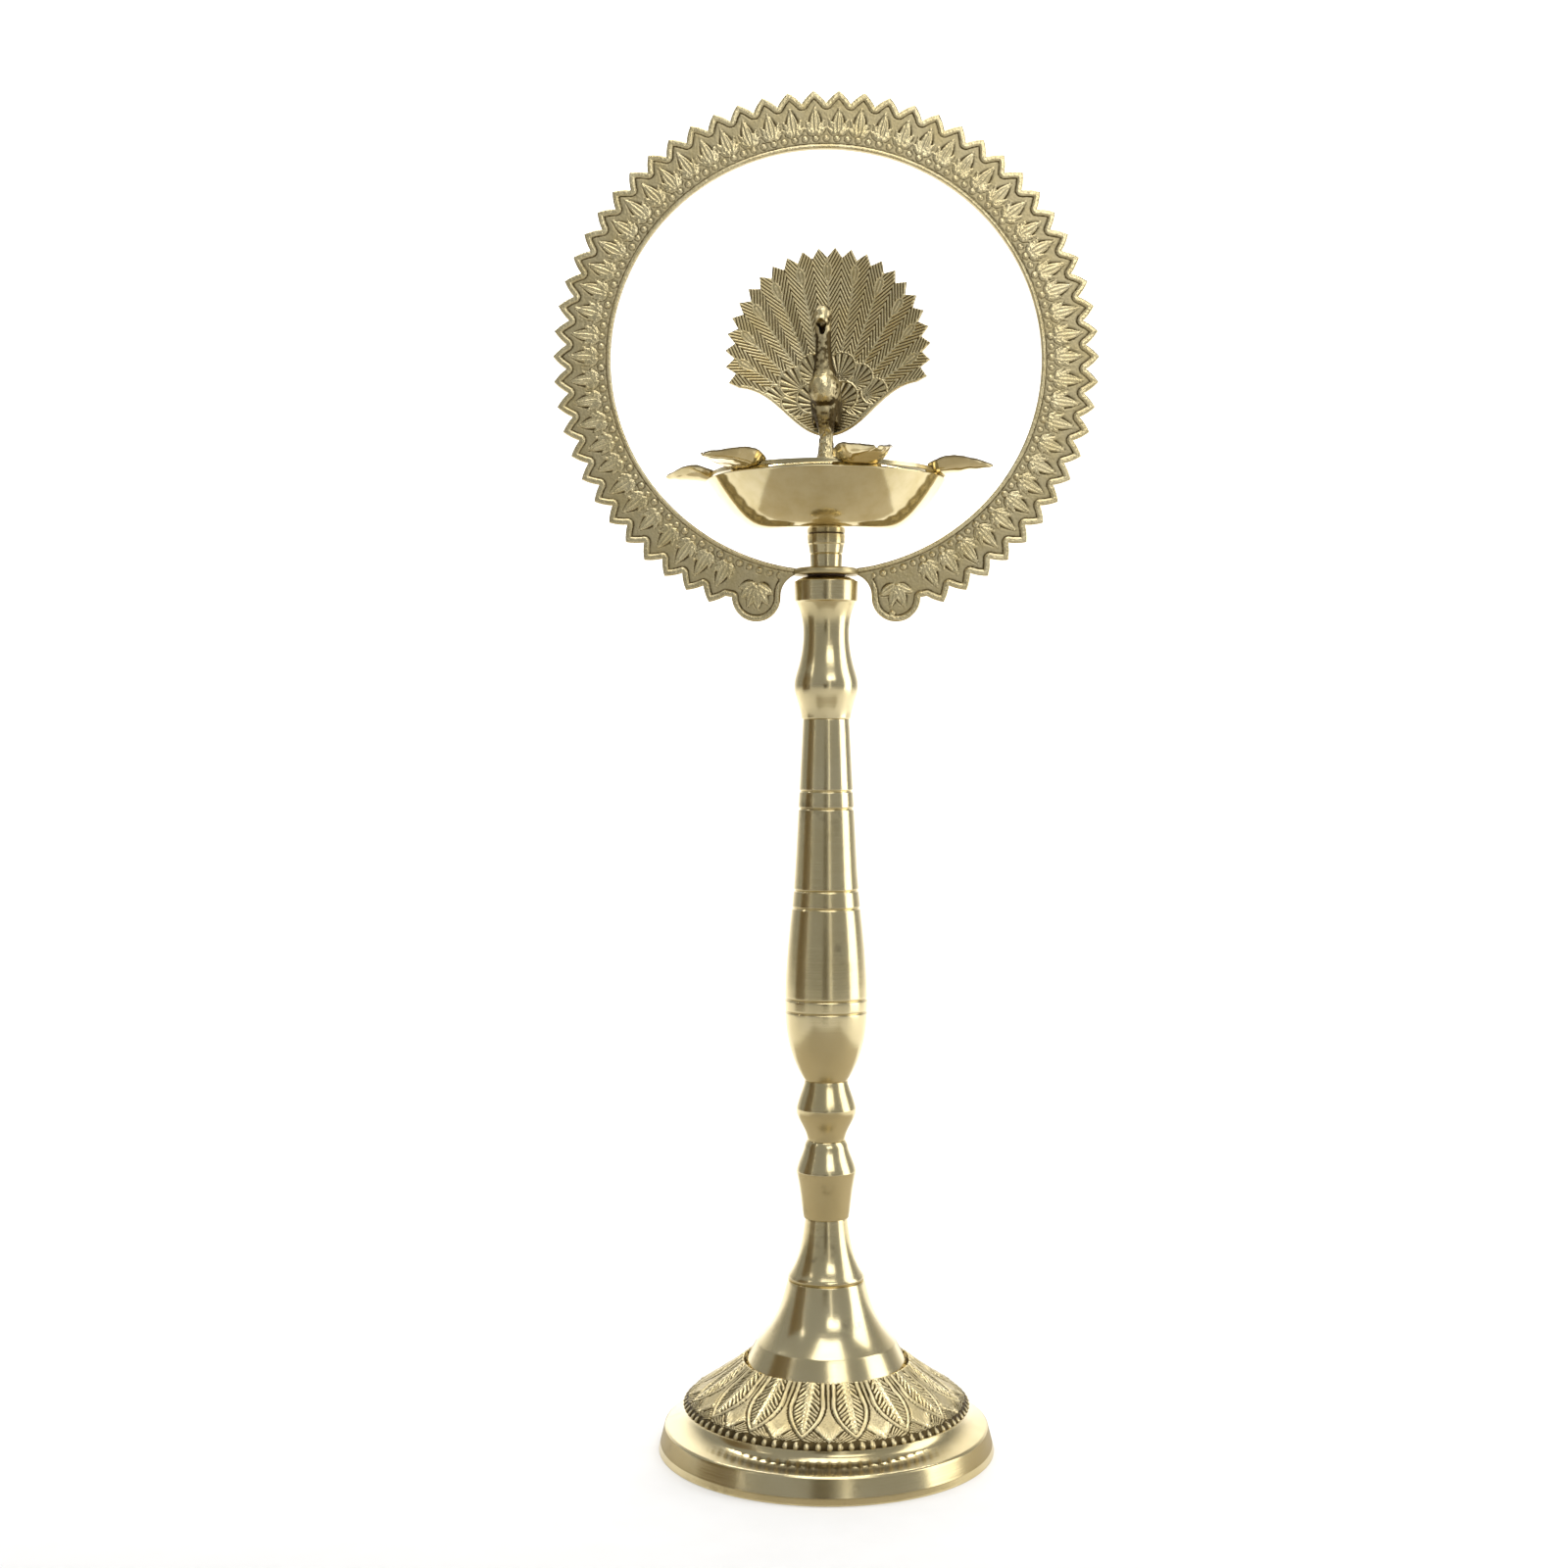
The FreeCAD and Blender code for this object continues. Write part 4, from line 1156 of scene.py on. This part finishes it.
def washer_leather():
    """Oiled leather washers."""
    make = Nodes("washer_leather")
    place = make.place()
    grain = make.noise(place, 1400.0, 4.0, 0.7)
    blotch = make.noise(place, 120.0, 3.0)
    colour = make.mix(blotch, (0.07, 0.035, 0.018), (0.15, 0.08, 0.04))
    rough = make.math("MULTIPLY_ADD", grain, 0.3, 0.5)
    return make.surface(colour, rough, make.bump(grain, 0.00006, 0.8))


def pale_floor():
    make = Nodes("pale_floor")
    grain = make.noise(make.place(), 60.0, 4.0)
    colour = make.mix(grain, (0.86, 0.85, 0.83), (0.90, 0.89, 0.88))
    return make.surface(colour, make.math("MULTIPLY_ADD", grain, 0.1, 0.6))


# ---------------------------------------------------------------- studio

def floor():
    """Floor that curves up into a wall far behind the lamp."""
    curve = [(y, 0.0) for y in (-FLOOR_REACH, 0, FLOOR_BEND_Y)]
    for turn in np.radians(range(6, 91, 6)):
        curve.append((FLOOR_BEND_Y + FLOOR_BEND_R * math.sin(turn), FLOOR_BEND_R * (1 - math.cos(turn))))
    curve.append((FLOOR_BEND_Y + FLOOR_BEND_R, FLOOR_REACH))
    points = [(side * 7000, y, z) for y, z in curve for side in (-1, 1)]
    sweep = object_from("floor", mesh_from("floor", points, [grid_faces(len(curve), 2, False, False)]))
    sweep.data.materials.append(pale_floor())


def turn_to(piece, place, aim):
    """Put a lamp or card at its place, facing the aim."""
    piece.location = place
    piece.rotation_mode = "QUATERNION"
    piece.rotation_quaternion = (Vector(aim) - Vector(place)).to_track_quat("-Z", "Y")


def lamp(name, place, aim, size, power):
    """Rectangular soft light."""
    light = bpy.data.lights.new(name, "AREA")
    light.shape = "RECTANGLE"
    light.size, light.size_y = size
    light.energy = power
    turn_to(object_from(name, light), place, aim)


def card(name, place, aim, size, shade):
    """Matt card that is only seen in reflections."""
    material = bpy.data.materials.new(name)
    material.use_nodes = True
    shader = material.node_tree.nodes["Principled BSDF"]
    shader.inputs["Base Color"].default_value = (*shade, 1)
    shader.inputs["Roughness"].default_value = 0.9
    width, height = (side / 2 / MM for side in size)
    points = [(-width, -height, 0), (width, -height, 0), (width, height, 0), (-width, height, 0)]
    plane = object_from(name, mesh_from(name, points, [[(0, 1, 2, 3)]]))
    plane.data.materials.append(material)
    turn_to(plane, place, aim)
    plane.visible_camera = False
    plane.visible_diffuse = False
    plane.visible_shadow = False


def studio():
    """White room with window lights, and dark cards that give the brass its dark reflections."""
    world = bpy.data.worlds.new("studio")
    world.use_nodes = True
    background = world.node_tree.nodes["Background"]
    background.inputs["Color"].default_value = (0.93, 0.96, 1.0, 1)
    background.inputs["Strength"].default_value = 0.38
    bpy.context.scene.world = world
    lamp("window_right", (1.45, -0.15, 0.45), MIDDLE, (0.80, 1.9), 13)
    lamp("window_front", (0.33, -1.55, 0.40), MIDDLE, (0.09, 1.6), 0.7)
    lamp("window_left", (-1.6, -0.9, 0.8), MIDDLE, (0.10, 1.6), 2)
    lamp("front_high", (0.50, -1.6, 1.15), (0, 0, 0.48), (0.9, 0.45), 3.5)
    lamp("overhead", (0.1, -0.7, 2.0), MIDDLE, (1.2, 1.2), 12)
    lamp("wall_wash", (0, 0.9, 2.4), (0, 3.4, 0.9), (3.5, 0.8), 205)
    card("dark_behind_camera", (-0.10, -1.6, -0.05), MIDDLE, (0.40, 1.1), (0.10, 0.085, 0.055))
    card("brown_left", (-1.30, -0.30, 0.30), MIDDLE, (0.85, 1.5), (0.14, 0.105, 0.055))
    card("table", (0, -0.15, 0.003), (0, -0.15, -1), (0.8, 0.8), (0.46, 0.42, 0.35))


def camera():
    data = bpy.data.cameras.new("camera")
    data.lens = CAMERA_LENS
    data.shift_y = CAMERA_SHIFT_Y
    data.clip_start = 0.01
    view = object_from("camera", data)
    view.location = CAMERA_AT
    view.rotation_euler = (math.pi / 2, 0, 0)
    bpy.context.scene.camera = view


# ---------------------------------------------------------------- the lamp

bright = polished_brass()
cast = cast_brass("cast_brass", 0.00008, 0.0)
bowl_metal = cast_brass("bowl_brass", 0.00001, 0.8)
steel = zinc_steel()
leather = washer_leather()

for node in ("base_cone", "base_neck", "lower_knop", "upper_knop", "shaft"):
    turned_piece(node, "stand", bright)
turned_piece("foot_ring", "stand", bright, segments=288)
turned_piece("capital", "stand", bright)
turned_piece("bowl_stem", "stem", bright, spacing=0.16, segments=96, reshape=thread(378.5, 395.0, 4.0))
turned_piece("bowl_post", "stem", bright, segments=96)
halo(cast)
lotus_skirt(cast)
peacock_tail(cast)
peacock_body(cast)
oil_bowl(bowl_metal)
looks = {"rod_steel": steel, "washer_leather": leather, "cast_brass": cast, "turned_brass": bright}
for packed in NODES.values():
    if not packed.hide_render:
        packed.data.materials[0] = looks[packed.data.materials[0].name]

floor()
studio()
camera()
bpy.context.scene.view_settings.view_transform = "Standard"
